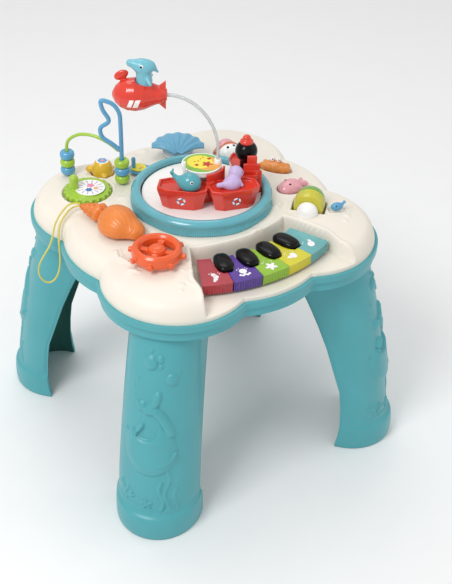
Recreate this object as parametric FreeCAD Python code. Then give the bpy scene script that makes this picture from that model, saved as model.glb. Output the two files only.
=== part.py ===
import FreeCAD, Part
import math
import os
from FreeCAD import Vector as V

os.makedirs("parts", exist_ok=True)

# Activity table, millimetres. Origin: centre of the footprint, on the floor.
# -Y is the keyboard side, +X to its right, +Z up.

# ---- driving dimensions -------------------------------------------------
LOBE_C = 99.0          # lobe circle centre, x and y
LOBE_R = 97.0          # lobe circle radius
SIDE_C = 64.5          # side bulge circle centre
SIDE_R = 130.2         # side bulge radius
CUSP_R = 9.0           # blend between lobe and side bulge
Z_RIM = 321.7          # edge of the deck over the tray lip
Z_DECK0 = 318.0        # lower edge of the deck
Z_TRAY = 299.0         # underside of the tray
WALL = 3.0             # moulded wall
PLATEAU_R = 100.0      # flat middle of the deck
Z_PLATEAU = 357.5
KEY_C = (0.0, 50.0)    # centre of the key fan
KEY_R0, KEY_R1 = 172.0, 229.0
KEY_STEP = 10.0        # degrees per key
Z_FLOOR = 327.5        # floor of the key bay
Z_KEYTOP = 346.0
DISC_R = 80.5
Z_DISC = 370.0
RING_RI, RING_RO = 82.0, 98.0
ARM_Z = 511.0          # height of the fish plane
ARM_DIR = 147.0        # plan angle of the arm
CORD_D = 2.4
KEY_GAP = 0.5

nodes = {}


def save(name, shape):
    nodes[name] = shape


def cyl(r, z0, z1, x=0.0, y=0.0):
    return Part.makeCylinder(r, z1 - z0, V(x, y, z0))


def cylv(r, p0, p1):
    d = V(*p1) - V(*p0)
    return Part.makeCylinder(r, d.Length, V(*p0), d)


def box(x0, x1, y0, y1, z0, z1):
    return Part.makeBox(x1 - x0, y1 - y0, z1 - z0, V(x0, y0, z0))


def sph(r, x, y, z):
    return Part.makeSphere(r, V(x, y, z))


def ell(a, b, c, x, y, z, rot=0.0):
    s = Part.makeSphere(1.0)
    m = FreeCAD.Matrix()
    m.scale(a, b, c)
    s = s.transformGeometry(m)
    s.rotate(V(0, 0, 0), V(0, 0, 1), rot)
    s.translate(V(x, y, z))
    return s


def fuse(*s):
    r = s[0]
    if len(s) > 1:
        r = r.multiFuse(list(s[1:]))
    return r


def revolve(pts, x=0.0, y=0.0):
    w = Part.makePolygon([V(r, 0, z) for r, z in pts + [pts[0]]])
    f = Part.Face(w)
    s = f.revolve(V(0, 0, 0), V(0, 0, 1), 360)
    s.translate(V(x, y, 0))
    return s


def turn(s, deg, x=0.0, y=0.0):
    s.rotate(V(x, y, 0), V(0, 0, 1), deg)
    return s


def pol(r, deg, x=0.0, y=0.0):
    a = math.radians(deg)
    return x + r * math.cos(a), y + r * math.sin(a)


def prism(pts, z0, z1):
    w = Part.makePolygon([V(x, y, z0) for x, y in pts + [pts[0]]])
    return Part.Face(w).extrude(V(0, 0, z1 - z0))


def oval(a, b, z0, z1, x, y, rot):
    """Upright prism on an ellipse."""
    e = Part.Ellipse(V(x, y, z0), a, b).toShape()
    s = Part.Face(Part.Wire(e)).extrude(V(0, 0, z1 - z0))
    s.rotate(V(x, y, 0), V(0, 0, 1), rot)
    return s


# ---- four-lobed outline -------------------------------------------------
def blend_centre(c1, r1, c2, r2, rf, pick):
    d = math.hypot(c2[0] - c1[0], c2[1] - c1[1])
    a, b = r1 + rf, r2 + rf
    x = (d * d + a * a - b * b) / (2 * d)
    h = math.sqrt(a * a - x * x)
    ux, uy = (c2[0] - c1[0]) / d, (c2[1] - c1[1]) / d
    cand = [(c1[0] + ux * x - uy * h * s, c1[1] + uy * x + ux * h * s) for s in (1, -1)]
    return max(cand, key=lambda p: p[0] * pick[0] + p[1] * pick[1])


def outline(off, z):
    """Closed wire of the deck outline moved inwards by off, at height z."""
    rl, rs, rf = LOBE_R - off, SIDE_R - off, CUSP_R + off
    pts = []
    for k in range(4):
        a = math.radians(90 * k)
        ca, sa = math.cos(a), math.sin(a)
        rot = lambda p: (p[0] * ca - p[1] * sa, p[0] * sa + p[1] * ca)
        side, lobe = (SIDE_C, 0.0), (LOBE_C, LOBE_C)
        f1 = blend_centre(side, rs, lobe, rl, rf, (1.0, 0.2))
        f0 = (f1[0], -f1[1])

        def on(c, f, r):
            d = math.hypot(f[0] - c[0], f[1] - c[1])
            return (c[0] + (f[0] - c[0]) * r / d, c[1] + (f[1] - c[1]) * r / d)
        s0, s1 = on(side, f0, rs), on(side, f1, rs)
        l1 = on(lobe, f1, rl)
        mf = ((s1[0] + l1[0]) / 2 - f1[0], (s1[1] + l1[1]) / 2 - f1[1])
        m = math.hypot(*mf)
        midf = (f1[0] + mf[0] * rf / m, f1[1] + mf[1] * rf / m)
        l2 = (l1[1], l1[0])
        q = math.sqrt(0.5)
        midl = (LOBE_C + rl * q, LOBE_C + rl * q)
        s1b = (s1[1], s1[0])
        midf2 = (midf[1], midf[0])
        seg = [(s0, (SIDE_C + rs, 0.0), s1), (s1, midf, l1), (l1, midl, l2), (l2, midf2, s1b)]
        for t in seg:
            pts.append([rot(p) for p in t])
    edges = []
    for a_, b_, c_ in pts:
        edges.append(Part.Arc(V(a_[0], a_[1], z), V(b_[0], b_[1], z), V(c_[0], c_[1], z)).toShape())
    return Part.Wire(edges)


def slab(off, z0, z1):
    return Part.Face(outline(off, z0)).extrude(V(0, 0, z1 - z0))


def pillow(offs, cone):
    s = Part.makeLoft([outline(o, z) for o, z in offs], True, True)
    r0, z0, r1, z1 = cone
    return s.fuse(Part.makeCone(r0, r1, z1 - z0, V(0, 0, z0)))


outer = pillow([(0.0, Z_DECK0), (0.0, 322.0), (1.0, 331.0), (4.0, 339.0), (9.0, 345.3),
                (16.0, 349.2), (28.0, 351.7), (45.0, 354.0)], (134.0, 353.0, PLATEAU_R, Z_PLATEAU))
inner = pillow([(3.0, Z_DECK0 - 1), (3.0, 322.0), (4.0, 330.0), (7.0, 337.0), (12.0, 342.3),
                (19.0, 346.2), (31.0, 348.7), (48.0, 351.0)], (131.0, 350.0, PLATEAU_R, Z_PLATEAU - 3))

# ---- where things sit on the deck ---------------------------------------
GEAR = (-120.0, 103.5)
TURTLE = (-79.0, 136.0)
SDIAL = (-34.0, 112.5)
MONKEY = (103.0, 90.0)
CRAB = (139.0, 23.0)
FISH = (127.5, -34.0)
ROLL = (118.0, -86.0)
ROLL_DIR = 45.0
Z_ROLL = 358.5
SWITCH = (146.0, -111.0)
SWITCH_DIR = -18.0
WHEEL = (-121.0, -90.0)
CONCH = (-128.0, 0.0)
SCAL_H = (27.0, 106.0)
SCAL_N = 59.0
STACK_L = (-121.0, 161.0)
STACK_R = (-69.0, 96.0)


def fan(r0, r1, a0, a1, z0, z1):
    """Sector of the key fan, angles from -Y, positive towards +X."""
    cx, cy = KEY_C

    def p(r, a):
        t = math.radians(a)
        return V(cx + r * math.sin(t), cy - r * math.cos(t), z0)
    am = (a0 + a1) / 2
    e = [Part.makeLine(p(r0, a0), p(r1, a0)), Part.Arc(p(r1, a0), p(r1, am), p(r1, a1)).toShape(),
         Part.makeLine(p(r1, a1), p(r0, a1)), Part.Arc(p(r0, a1), p(r0, am), p(r0, a0)).toShape()]
    return Part.Face(Part.Wire(e)).extrude(V(0, 0, z1 - z0))


# key bay: fan-shaped pocket open to the front rim
bay_in = fan(158.0, 260.0, -27.5, 27.5, Z_FLOOR, 380.0)
bay_pan = fan(155.0, 260.0, -29.0, 29.0, Z_FLOOR - WALL, 380.0).common(outer)
# round pockets: (x, y, radius, floor height)
pockets = [(GEAR[0], GEAR[1], 34.6, 346.0), (MONKEY[0], MONKEY[1], 21.0, 346.0),
           (TURTLE[0], TURTLE[1], 15.6, 346.0)]
OVALS = ((CRAB, 24.5, 15.0, -52.0), (FISH, 24.0, 15.0, 5.0))
deck = outer.cut(inner).fuse(bay_pan)
pans = [cyl(r + WALL, z - WALL, 356.0, x, y).common(outer) for x, y, r, z in pockets]
for c, a, b, rot in OVALS:
    pans.append(oval(a + WALL, b + WALL, 343.0, 356.0, c[0], c[1], rot).common(outer))
# roller well
roll_pan = turn(box(-20.5, 20.5, -24.8, 24.8, 333.0, 356.0), ROLL_DIR)
roll_pan.translate(V(ROLL[0], ROLL[1], 0))
roll_cut = turn(box(-16.2, 16.2, -22.0, 22.0, 336.0, 390.0), ROLL_DIR)
roll_cut.translate(V(ROLL[0], ROLL[1], 0))
pans.append(roll_pan.common(outer))
# bearing cheeks that carry the roller axle
for x0 in (-20.5, 16.2):
    cheek = Part.makeCylinder(5.5, 4.3, V(x0, 0, Z_ROLL), V(1, 0, 0)).fuse(box(x0, x0 + 4.3, -5.5, 5.5, 346.0, Z_ROLL))
    turn(cheek, ROLL_DIR)
    cheek.translate(V(ROLL[0], ROLL[1], 0))
    pans.append(cheek)
axle_cut = Part.makeCylinder(2.2, 41.0, V(-20.5, 0, Z_ROLL), V(1, 0, 0))
turn(axle_cut, ROLL_DIR)
axle_cut.translate(V(ROLL[0], ROLL[1], 0))
# slide switch slot
sw_pan = turn(box(-15.0, 15.0, -8.6, 8.6, 346.5, 356.0), SWITCH_DIR)
sw_pan.translate(V(SWITCH[0], SWITCH[1], 0))
pans.append(sw_pan.common(outer))
sw_cut = turn(box(-12.0, 12.0, -5.9, 5.9, 349.0, 380.0).fuse(box(-6.0, 6.0, -2.7, 2.7, 340.0, 350.0)), SWITCH_DIR)
sw_cut.translate(V(SWITCH[0], SWITCH[1], 0))
# screw bosses reach down to the tray floor
SCREWS = [pol(150.0, 45 + 90 * k) for k in range(4)] + [(-120.0, 0.0), (0.0, -112.0)]
for x, y in SCREWS:
    pans.append(cyl(5.0, 303.0, 352.0, x, y).common(outer.fuse(slab(10.0, 302.0, 325.0))))
deck = deck.multiFuse(pans)
cuts = [bay_in, roll_cut, sw_cut, axle_cut] + [cyl(1.6, 300.0, 322.0, x, y) for x, y in SCREWS]
for x, y, r, z in pockets:
    cuts.append(cyl(r, z, 380.0, x, y))
for c, a, b, rot in OVALS:
    cuts.append(oval(a, b, 346.0, 380.0, c[0], c[1], rot))
# shaft and stem holes
cuts.append(cyl(7.05, 330.0, 380.0))
for c, r in ((GEAR, 4.05), (WHEEL, 5.05), (SDIAL, 3.05), (MONKEY, 4.3), (TURTLE, 4.3), (CRAB, 4.3), (FISH, 4.3)):
    cuts.append(cyl(r, 330.0, 380.0, c[0], c[1]))
for k in range(5):
    x, y = pol(200.0, -90.0 + (k - 2) * KEY_STEP, *KEY_C)
    cuts.append(cyl(3.8, 315.0, 330.0, x, y))
for k in range(4):
    x, y = pol(180.0, -90.0 + (k - 1.5) * KEY_STEP, *KEY_C)
    cuts.append(cyl(2.8, 315.0, 330.0, x, y))
# bead wire feet
for c, r in ((STACK_L, 2.6), (STACK_R, 3.0)):
    cuts.append(cyl(r, 340.0, 380.0, c[0], c[1]))
deck = deck.cut(fuse(*cuts[:1]).multiFuse(cuts[1:]))
# bearing boss under the turntable, and bosses for shafts
boss = cyl(13.0, 344.0, 361.0).cut(cyl(7.05, 340.0, 365.0))
deck = deck.fuse(boss)
save("top_deck", deck)

# ---- lower tray ---------------------------------------------------------
tray = slab(-1.0, Z_TRAY, 314.0).fuse(slab(-4.5, 313.0, Z_RIM))
tray = tray.cut(slab(3.0, Z_TRAY + WALL, Z_RIM + 1)).cut(slab(0.0, Z_DECK0, Z_RIM + 1))
DOOR = (-34.0, 34.0, 22.0, 82.0)
tray = tray.cut(box(DOOR[0], DOOR[1], DOOR[2], DOOR[3], 290.0, 305.0))
# battery compartment walls and floor above the opening
comp = box(DOOR[0] - 2.5, DOOR[1] + 2.5, DOOR[2] - 2.5, DOOR[3] + 2.5, Z_TRAY + 0.0, 321.0)
comp = comp.cut(box(DOOR[0], DOOR[1], DOOR[2], DOOR[3], 290.0, 318.5))
tray = tray.fuse(comp)
# speaker grille slots
SPK = (-70.0, -70.0)
for i in range(-3, 4):
    w = math.sqrt(max(1.0, 20.0 ** 2 - (i * 6.0) ** 2))
    tray = tray.cut(box(SPK[0] - w, SPK[0] + w, SPK[1] + i * 6 - 1.2, SPK[1] + i * 6 + 1.2, 290.0, 305.0))
for x, y in SCREWS:
    tray = tray.cut(cyl(1.8, 290.0, 305.0, x, y)).cut(cyl(3.6, 290.0, 300.6, x, y))
save("lower_tray", tray)
save("battery_door", box(DOOR[0] + 0.3, DOOR[1] - 0.3, DOOR[2] + 0.3, DOOR[3] - 0.3, Z_TRAY, Z_TRAY + 2.4))
cells = [cylv(7.1, (-25.0, 34.0 + 17.5 * i, 309.6), (25.4, 34.0 + 17.5 * i, 309.6)).fuse(
    cylv(2.7, (25.4, 34.0 + 17.5 * i, 309.6), (27.0, 34.0 + 17.5 * i, 309.6))) for i in range(3)]
save("batteries", Part.makeCompound(cells))
contacts = []
for i in range(3):
    y = 34.0 + 17.5 * i
    contacts.append(box(27.0, 27.6, y - 5, y + 5, 304.5, 314.5))
    contacts.append(Part.makeCone(3.0, 5.0, 2.4, V(-25.0, y, 309.6), V(-1, 0, 0)))
save("battery_contacts", Part.makeCompound(contacts))

# ---- legs ---------------------------------------------------------------
# sections: height, chord radius of the open edges, outermost radius, half width
LEG = [(0.0, 219.5, 295.0, 59.2), (14.0, 222.0, 296.0, 59.2), (31.0, 223.5, 293.5, 58.6), (36.0, 223.6, 289.5, 57.0),
       (40.0, 223.6, 284.5, 55.5), (70.0, 221.8, 281.0, 55.2), (100.0, 217.8, 276.5, 54.5), (133.0, 206.5, 271.0, 53.2),
       (173.0, 193.0, 263.0, 51.5), (208.0, 178.5, 255.5, 50.0), (238.0, 164.5, 248.5, 48.5), (268.0, 149.0, 240.5, 47.0),
       (Z_TRAY, 131.0, 231.0, 45.5)]


def leg_section(z, rc, ro, w):
    s = min(w * 0.98, ro - rc - 6.0)
    ra = ro - s
    a, b, c, d, e = V(rc, -w, z), V(ra, -w, z), V(ro, 0, z), V(ra, w, z), V(rc, w, z)
    return Part.Wire([Part.makeLine(a, b), Part.Arc(b, c, d).toShape(), Part.makeLine(d, e), Part.makeLine(e, a)])


def leg(angle):
    o = Part.makeLoft([leg_section(*s) for s in LEG], True, True)
    ins = []
    for i, (z, rc, ro, w) in enumerate(LEG):
        zz = z - 1.0 if i == 0 else (z + 1.0 if i == len(LEG) - 1 else z)
        t = WALL
        if z < 39:
            w, ro = 55.6, 285.0
        ins.append(leg_section(zz, rc - 20.0, ro - t, w - t))
    i = Part.makeLoft(ins, True, True)
    s = o.cut(i)
    # closed head plate under the tray
    head = o.common(box(0, 400, -100, 100, Z_TRAY - 4.0, Z_TRAY))
    s = s.fuse(head)
    return turn(s, angle)


for name, a in (("leg_back_right", 45), ("leg_back_left", 135), ("leg_front_left", 225), ("leg_front_right", 315)):
    save(name, leg(a))

# ---- light ring ---------------------------------------------------------
save("light_ring", revolve([(RING_RI, Z_PLATEAU), (97.2, Z_PLATEAU), (98.0, 359.0), (96.0, 366.0), (94.6, 369.5), (93.6, 373.0), (91.0, 376.4),
                            (88.0, 377.7), (85.0, 377.6), (RING_RI, 376.0)]))

# ---- carousel -----------------------------------------------------------
disc = cyl(DISC_R, 366.0, Z_DISC).fuse(cyl(16.0, 361.4, 366.5))
disc = disc.fuse(revolve([(76.0, 361.5), (80.0, 361.5), (80.0, 366.0), (76.0, 366.0)]))
disc = disc.cut(cyl(7.0, 355.0, 375.0))
save("turntable", disc)
# spigot with the snap collar that holds it under the deck boss
save("turntable_spigot", cyl(7.0, 338.0, Z_DISC).fuse(cyl(10.5, 341.0, 342.6)).cut(cyl(4.05, 330.0, 375.0)))


def hull(cx, cy, face, z0=Z_DISC, z1=400.0):
    """Flared eight-sided boat hull; face is the plan angle of its outer side."""
    def ring(k, z):
        p = [(-20, 17), (20, 17), (33, 10), (33, -10), (20, -17), (-20, -17), (-33, -10), (-33, 10)]
        a = math.radians(face - 90)
        q = [(cx + (u * k) * math.cos(a) - (v * k) * math.sin(a), cy + (u * k) * math.sin(a) + (v * k) * math.cos(a)) for u, v in p]
        return Part.makePolygon([V(x, y, z) for x, y in q + [q[0]]])
    o = Part.makeLoft([ring(0.80, z0), ring(0.90, z0 + 14), ring(1.0, z1 - 5), ring(1.0, z1)], True, True)
    # shallow seat tray on top, and the moulding is open below
    i = Part.makeLoft([ring(0.88, z1 - 3.8), ring(0.91, z1 + 1)], True, True)
    below = Part.makeLoft([ring(0.64, z0 + 4.5), ring(0.76, z1 - 7.0)], True, True)
    return o.cut(i).cut(below)


BOAT_A = (-39.3, -17.0, 230.0)
BOAT_B = (17.4, -51.0, 254.0)
BOAT_C = (60.0, -12.0, 338.0)
boats = fuse(hull(*BOAT_A), hull(*BOAT_B), hull(*BOAT_C))
hubring = revolve([(22.5, Z_DISC), (31.5, Z_DISC), (31.5, 378.0), (28.5, 378.0), (22.5, 376.0)])
wall = Part.makeCylinder(31.5, 42.0, V(0, 0, Z_DISC), V(0, 0, 1), 70).cut(cyl(28.5, 360.0, 420.0))
turn(wall, -110)
px_, py_ = 57.0, -34.0
prow = prism([(-13.5, 0), (-13.5, 5), (13.5, 5), (13.5, 0)], Z_DISC, 403.0)
prow = prow.fuse(prism([(-11.0, 0.6), (-11.0, 4.6), (11.0, 4.6), (11.0, 0.6)], 402.0, 413.0))
prow = prow.fuse(prism([(-6.5, 0.8), (-6.5, 4.4), (6.5, 4.4), (6.5, 0.8)], 412.0, 425.0))
turn(prow, 150)
prow.translate(V(px_, py_, 0))
arms = []
for ax, ay, _ in (BOAT_A, BOAT_B, BOAT_C):
    arm = box(24.0, math.hypot(ax, ay), -6.0, 6.0, Z_DISC, 374.0)
    arms.append(turn(arm, math.degrees(math.atan2(ay, ax))))
boats = fuse(boats, hubring, wall, prow, *arms)
save("boat_carousel", boats)

# passengers sit in the hulls on their moulded seats
Z_SEAT = 396.4
under = box(-100, 100, -100, 100, 360.0, Z_SEAT)
sail = prism([(-35.1, -9.7), (-32.6, -11.9), (-29.5, -8.1), (-32.0, -5.9)], Z_SEAT, 428.0)
whale = fuse(ell(15.0, 12.6, 13.5, -33.8, -25.0, 406.0, -40), sph(4.0, -48.3, -10.5, 413.7),
             cylv(3.2, (-44.0, -15.0, 408.0), (-50.3, -7.5, 416.5))).cut(under)
save("whale_figure", whale.cut(sail))
save("whale_sail", sail)
seal_body = revolve([(0.0, 386.2), (6.0, 386.2), (9.4, 391.0), (11.0, 396.0), (11.3, 400.0), (10.4, 405.5), (7.6, 410.5), (0.0, 413.0)], 17.0, -48.0)
seal_tail = Part.makeCone(5.9, 3.4, 19.0, V(13.0, -47.3, 396.4), V(-1.0, 0.07, 0.17))
save("seal_figure", fuse(seal_body, sph(9.6, 26.0, -42.5, 411.5), seal_tail).cut(under))
save("penguin_figure", fuse(sph(15.0, 62.0, -13.0, 420.0), cyl(8.0, Z_SEAT, 410.0, 62.0, -13.0)))
save("penguin_cap", sph(9.5, 62.0, -13.0, 434.5).cut(sph(15.0, 62.0, -13.0, 420.0)))

# ---- column, cap and arm ------------------------------------------------
Z_CAP = 413.0
column = revolve([(0.0, 370.4), (12.0, 370.4), (13.5, 380.0), (18.5, 400.0), (22.5, 404.0), (26.6, 405.5), (26.6, 411.0), (0.0, 411.0)])
column = column.fuse(cyl(4.0, 346.0, 372.0))
save("centre_column", column)
u = (math.cos(math.radians(ARM_DIR)), math.sin(math.radians(ARM_DIR)))


def ap(s, z, t=0.0):
    return V(s * u[0] - t * u[1], s * u[1] + t * u[0], z)


cap = cyl(27.0, 411.0, Z_CAP)
arm_foot = ap(-21.0, 0)
cap = cap.cut(cyl(3.3, 405.0, 420.0, arm_foot.x, arm_foot.y))
save("column_cap", cap)
# arm: straight rise, two tangent arcs, straight end into the fish plane
R1, T1, R2 = 85.0, 50.0, 58.6
zs = ARM_Z - R2 * (1 - math.sin(math.radians(T1))) - R1 * math.sin(math.radians(T1))


def arm_pt(th):
    t = math.radians(th)
    if th <= T1:
        return ap(-21.0 + R1 * (1 - math.cos(t)), zs + R1 * math.sin(t))
    t1 = math.radians(T1)
    cx = -21.0 + R1 * (1 - math.cos(t1)) + R2 * math.cos(t1)
    cz = zs + R1 * math.sin(t1) - R2 * math.sin(t1)
    return ap(cx - R2 * math.cos(t), cz + R2 * math.sin(t))


path = Part.Wire([Part.makeLine(ap(-21.0, 411.0), arm_pt(0)), Part.Arc(arm_pt(0), arm_pt(T1 / 2), arm_pt(T1)).toShape(),
                  Part.Arc(arm_pt(T1), arm_pt((T1 + 90) / 2), arm_pt(90)).toShape(), Part.makeLine(arm_pt(90), ap(56.0, ARM_Z))])
prof = Part.Wire(Part.makeCircle(3.1, ap(-21.0, 411.0), V(0, 0, 1)))
save("arc_arm", path.makePipeShell([prof], True, True))

# fish plane: revolved body lying along the arm, with a tail and a top fin
body_pts = [(48.5, 0.0), (48.5, 8.5), (53.0, 11.5), (59.0, 12.6), (66.0, 15.5), (75.0, 19.6), (86.0, 21.6), (96.0, 20.6), (105.0, 16.8),
            (111.5, 11.0), (115.5, 3.5), (116.0, 0.0)]
bf = Part.Face(Part.makePolygon([V(s, 0, r) for s, r in body_pts] + [V(48.5, 0, 0)]))
pb = bf.revolve(V(0, 0, 0), V(1, 0, 0), 360)
tail_f = Part.Face(Part.makePolygon([V(47.0, -2.0, -6), V(47.0, -2.0, -20.5), V(57.5, -2.0, -11), V(57.5, -2.0, 11), V(47.0, -2.0, 19.5), V(47.0, -2.0, -6)]))
pb = pb.fuse(tail_f.extrude(V(0, 4.0, 0)))
collar = Part.makeCylinder(7.5, 4.0, V(45.5, 0, 0), V(1, 0, 0))
pb = pb.fuse(collar)
pb = pb.cut(Part.makeCylinder(3.1, 10.6, V(45.4, 0, 0), V(1, 0, 0)))
pb = pb.cut(Part.makeCylinder(11.6, 8.0, V(74.5, 0, 17.5), V(0, 0, 1)))
pb.rotate(V(0, 0, 0), V(0, 0, 1), ARM_DIR)
pb.translate(V(0, 0, ARM_Z))
save("plane_body", pb)
# side wings, one piece set through the body: the far fin shows above the nose
fin = ell(10.0, 3.2, 6.2, 0, 0, 0, 0)
fin.rotate(V(0, 0, 0), V(0, 1, 0), 28)
fin.rotate(V(0, 0, 0), V(0, 0, 1), ARM_DIR)
p = ap(104.0, ARM_Z + 23.0, -7.0)
fin.translate(p)
root = cylv(2.6, tuple(ap(101.0, ARM_Z + 8.0, -7.0)), tuple(ap(104.0, ARM_Z + 23.0, -7.0)))
nodes["plane_body"] = nodes["plane_body"].fuse(fin).fuse(root)
sh = fuse(cyl(11.3, ARM_Z + 17.5, ARM_Z + 26.0, ap(74.5, 0).x, ap(74.5, 0).y),
          cyl(10.4, ARM_Z + 25.0, ARM_Z + 34.0, ap(75.0, 0).x, ap(75.0, 0).y))
hd = fuse(ell(14.0, 11.0, 10.5, 0, 0, 0, 0), Part.makeCone(9.0, 4.5, 17.0, V(4, 0, 1), V(1, 0, 0.15)), sph(4.6, 20.8, 0, 3.5),
          prism([(-15, -1.2), (-9, -1.2), (-9, 1.2), (-15, 1.2)], -9.0, 5.0))
hd.rotate(V(0, 0, 0), V(0, 0, 1), ARM_DIR)
hd.translate(ap(73.0, ARM_Z + 37.5))
save("shark_figure", sh.fuse(hd))

# ---- bead wires and beads ----------------------------------------------
def rounded_path(pts, radii=None, frac=0.45, report=None):
    """Straight runs joined by tangent arcs; arc radius from the shorter run and the turn."""
    P = [V(*p) for p in pts]
    edges, cur = [], P[0]
    for i in range(1, len(P) - 1):
        a, b = P[i] - P[i - 1], P[i + 1] - P[i]
        la, lb = a.Length, b.Length
        a.normalize()
        b.normalize()
        turn_ = a.getAngle(b)
        t = frac * min(la, lb)
        r = t / math.tan(turn_ / 2)
        if report is not None:
            report.append((round(r, 1), round(math.degrees(turn_), 1)))
        p0, p1 = P[i] - a * t, P[i] + b * t
        bis = b - a
        bis.normalize()
        c = P[i] + bis * (r / math.cos(turn_ / 2))
        mid = c - bis * r
        if (p0 - cur).Length > 1e-4:
            edges.append(Part.makeLine(cur, p0))
        edges.append(Part.Arc(p0, mid, p1).toShape())
        cur = p1
    edges.append(Part.makeLine(cur, P[-1]))
    return Part.Wire(edges)


def tube(pts, d, report=None):
    w = rounded_path(pts, report=report)
    t = V(*pts[1]) - V(*pts[0])
    prof = Part.Wire(Part.makeCircle(d / 2, V(*pts[0]), t))
    return w.makePipeShell([prof], True, True), w.Length


green_pts = [(STACK_L[0], STACK_L[1], 345.0), (STACK_L[0], STACK_L[1], 405.0), (-109.0, 145.5, 420.0),
             (-93.5, 126.0, 421.5), (-80.0, 109.5, 413.5), (-71.5, 99.2, 404.0)]
green, _ = tube(green_pts, 4.6)
BU = (math.cos(math.radians(ARM_DIR)), math.sin(math.radians(ARM_DIR)))


def bp(s, z):
    return (STACK_R[0] + s * BU[0], STACK_R[1] + s * BU[1], z)


blue_pts = [bp(0, 345.0), bp(0, 430.0), bp(0.6, 462.0), bp(9.0, 476.0), bp(27.0, 482.0), bp(24.0, 466.0), bp(13.0, 449.5), bp(29.0, 440.0),
            bp(26.5, 425.5), bp(12.0, 415.5), bp(1.6, 406.0)]
blue, _ = tube(blue_pts, 6.0)
save("bead_wire_blue", blue)
# the green wire ends in the side of the blue one
save("bead_wire_green", max(green.cut(blue).Solids, key=lambda q: q.Volume))


def bead(x, y, z, r, hole):
    prof = [(hole, z - 5.6), (r * 0.78, z - 5.6), (r * 0.95, z - 3.6), (r, z - 1.2), (r, z + 1.2), (r * 0.95, z + 3.6), (r * 0.78, z + 5.6), (hole, z + 5.6)]
    return revolve(prof, x, y)


BEAD_ZL = (359.8, 371.6, 383.4)
BEAD_ZR = (362.8, 374.6, 386.4)
bl = [bead(STACK_L[0], STACK_L[1], z, 10.4, 2.75) for z in BEAD_ZL]
br = [bead(STACK_R[0], STACK_R[1], z, 10.4, 3.4) for z in BEAD_ZR]
save("beads_left_blue", Part.makeCompound([bl[0], bl[2]]))
save("beads_left_green", bl[1])
save("beads_right_green", Part.makeCompound([br[0], br[2]]))
save("beads_right_blue", br[1])

# ---- dials --------------------------------------------------------------
gear = cyl(30.5, 349.5, 357.0, *GEAR)
teeth = []
for k in range(20):
    x, y = pol(31.0, k * 18.0, *GEAR)
    teeth.append(cyl(2.4, 349.5, 356.0, x, y))
gear = gear.multiFuse(teeth).fuse(cyl(4.0, 335.0, 350.0, *GEAR)).fuse(cyl(22.5, 356.5, 359.0, *GEAR))
kx, ky = pol(18.0, 152.0, *GEAR)
save("gear_dial", fuse(gear, cyl(6.4, 358.0, 373.0, kx, ky), sph(6.4, kx, ky, 373.0)))
sd_plate = fuse(cyl(14.5, 356.6, 359.6, *SDIAL), prism([(-30.0, 100.5), (-13.5, 105.6), (-13.5, 109.8), (-30.0, 124.0)], 356.6, 359.6)).cut(cyl(3.05, 350.0, 365.0, *SDIAL))
sd_plate = sd_plate.cut(outer)
save("small_dial_plate", sd_plate)
save("small_dial_disc", cyl(11.0, 360.0, 361.6, *SDIAL).fuse(cyl(3.0, 345.0, 360.5, *SDIAL)))
qx, qy = pol(7.0, 155.0, *SDIAL)
save("small_dial_peg", cyl(3.0, 361.6, 375.0, qx, qy).fuse(sph(3.0, qx, qy, 375.0)))

# ---- buttons: cap over its pocket, stem through the deck ----------------
def stem(c, r, z0, z1):
    return cyl(r, z0, z1, *c)


tur = revolve([(0, 351.0), (15.0, 351.0), (15.0, 362.0), (13.6, 368.0), (11.0, 372.0), (9.5, 373.5), (0, 373.5)], *TURTLE).fuse(stem(TURTLE, 4.0, 338.0, 352.0))
save("turtle_button", tur)
mk = fuse(revolve([(0, 350.5), (20.4, 350.5), (20.4, 360.0), (18.5, 367.0), (13.0, 372.0), (6.0, 374.0), (0, 374.0)], *MONKEY), stem(MONKEY, 4.0, 338.0, 352.0))
save("monkey_button", mk)
cr = ell(23.9, 14.4, 11.5, CRAB[0], CRAB[1], 353.0, -52.0).cut(box(60, 220, -60, 100, 300, 350.0)).fuse(stem(CRAB, 4.0, 338.0, 352.0))
save("crab_button", cr)
fb = ell(23.4, 14.4, 13.0, FISH[0], FISH[1], 353.0, 5.0).cut(box(60, 220, -100, 60, 300, 350.0)).fuse(stem(FISH, 4.0, 338.0, 352.0))
save("fish_button", fb)
sw = box(-8.3, 8.3, -5.5, 5.5, 349.3, 360.5).fuse(box(-2.4, 2.4, -2.3, 2.3, 341.0, 350.0))
save("slide_switch", turn(sw, SWITCH_DIR).translated(V(SWITCH[0], SWITCH[1], 0)))

# ---- roller with its half ball -----------------------------------------
drum_f = Part.Face(Part.makePolygon([V(-15, 0, 2.25), V(-15, 0, 19.0), V(-8, 0, 20.6), V(0, 0, 21.0), V(8, 0, 20.6), V(15, 0, 19.0), V(15, 0, 2.25), V(-15, 0, 2.25)]))
drum = drum_f.revolve(V(0, 0, 0), V(1, 0, 0), 360)
drum.rotate(V(0, 0, 0), V(0, 0, 1), ROLL_DIR)
drum.translate(V(ROLL[0], ROLL[1], Z_ROLL))
save("roller", drum)
du = (math.cos(math.radians(ROLL_DIR)), math.sin(math.radians(ROLL_DIR)))
a0 = (ROLL[0] - 20.5 * du[0], ROLL[1] - 20.5 * du[1], Z_ROLL)
a1 = (ROLL[0] + 20.5 * du[0], ROLL[1] + 20.5 * du[1], Z_ROLL)
save("roller_axle", cylv(2.2, a0, a1))
BALL = (ROLL[0] - 20.0 * du[0], ROLL[1] - 20.0 * du[1], 356.5)
ball = sph(14.5, *BALL)
ball = ball.cut(nodes["top_deck"]).cut(outer).cut(roll_cut).cut(axle_cut)
save("half_ball", ball)

# ---- scallop lid --------------------------------------------------------
sn = (math.cos(math.radians(SCAL_N)), math.sin(math.radians(SCAL_N)))
st = (sn[1], -sn[0])


def sp(s, n, z):
    return (SCAL_H[0] + s * st[0] + n * sn[0], SCAL_H[1] + s * st[1] + n * sn[1], z)


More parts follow.
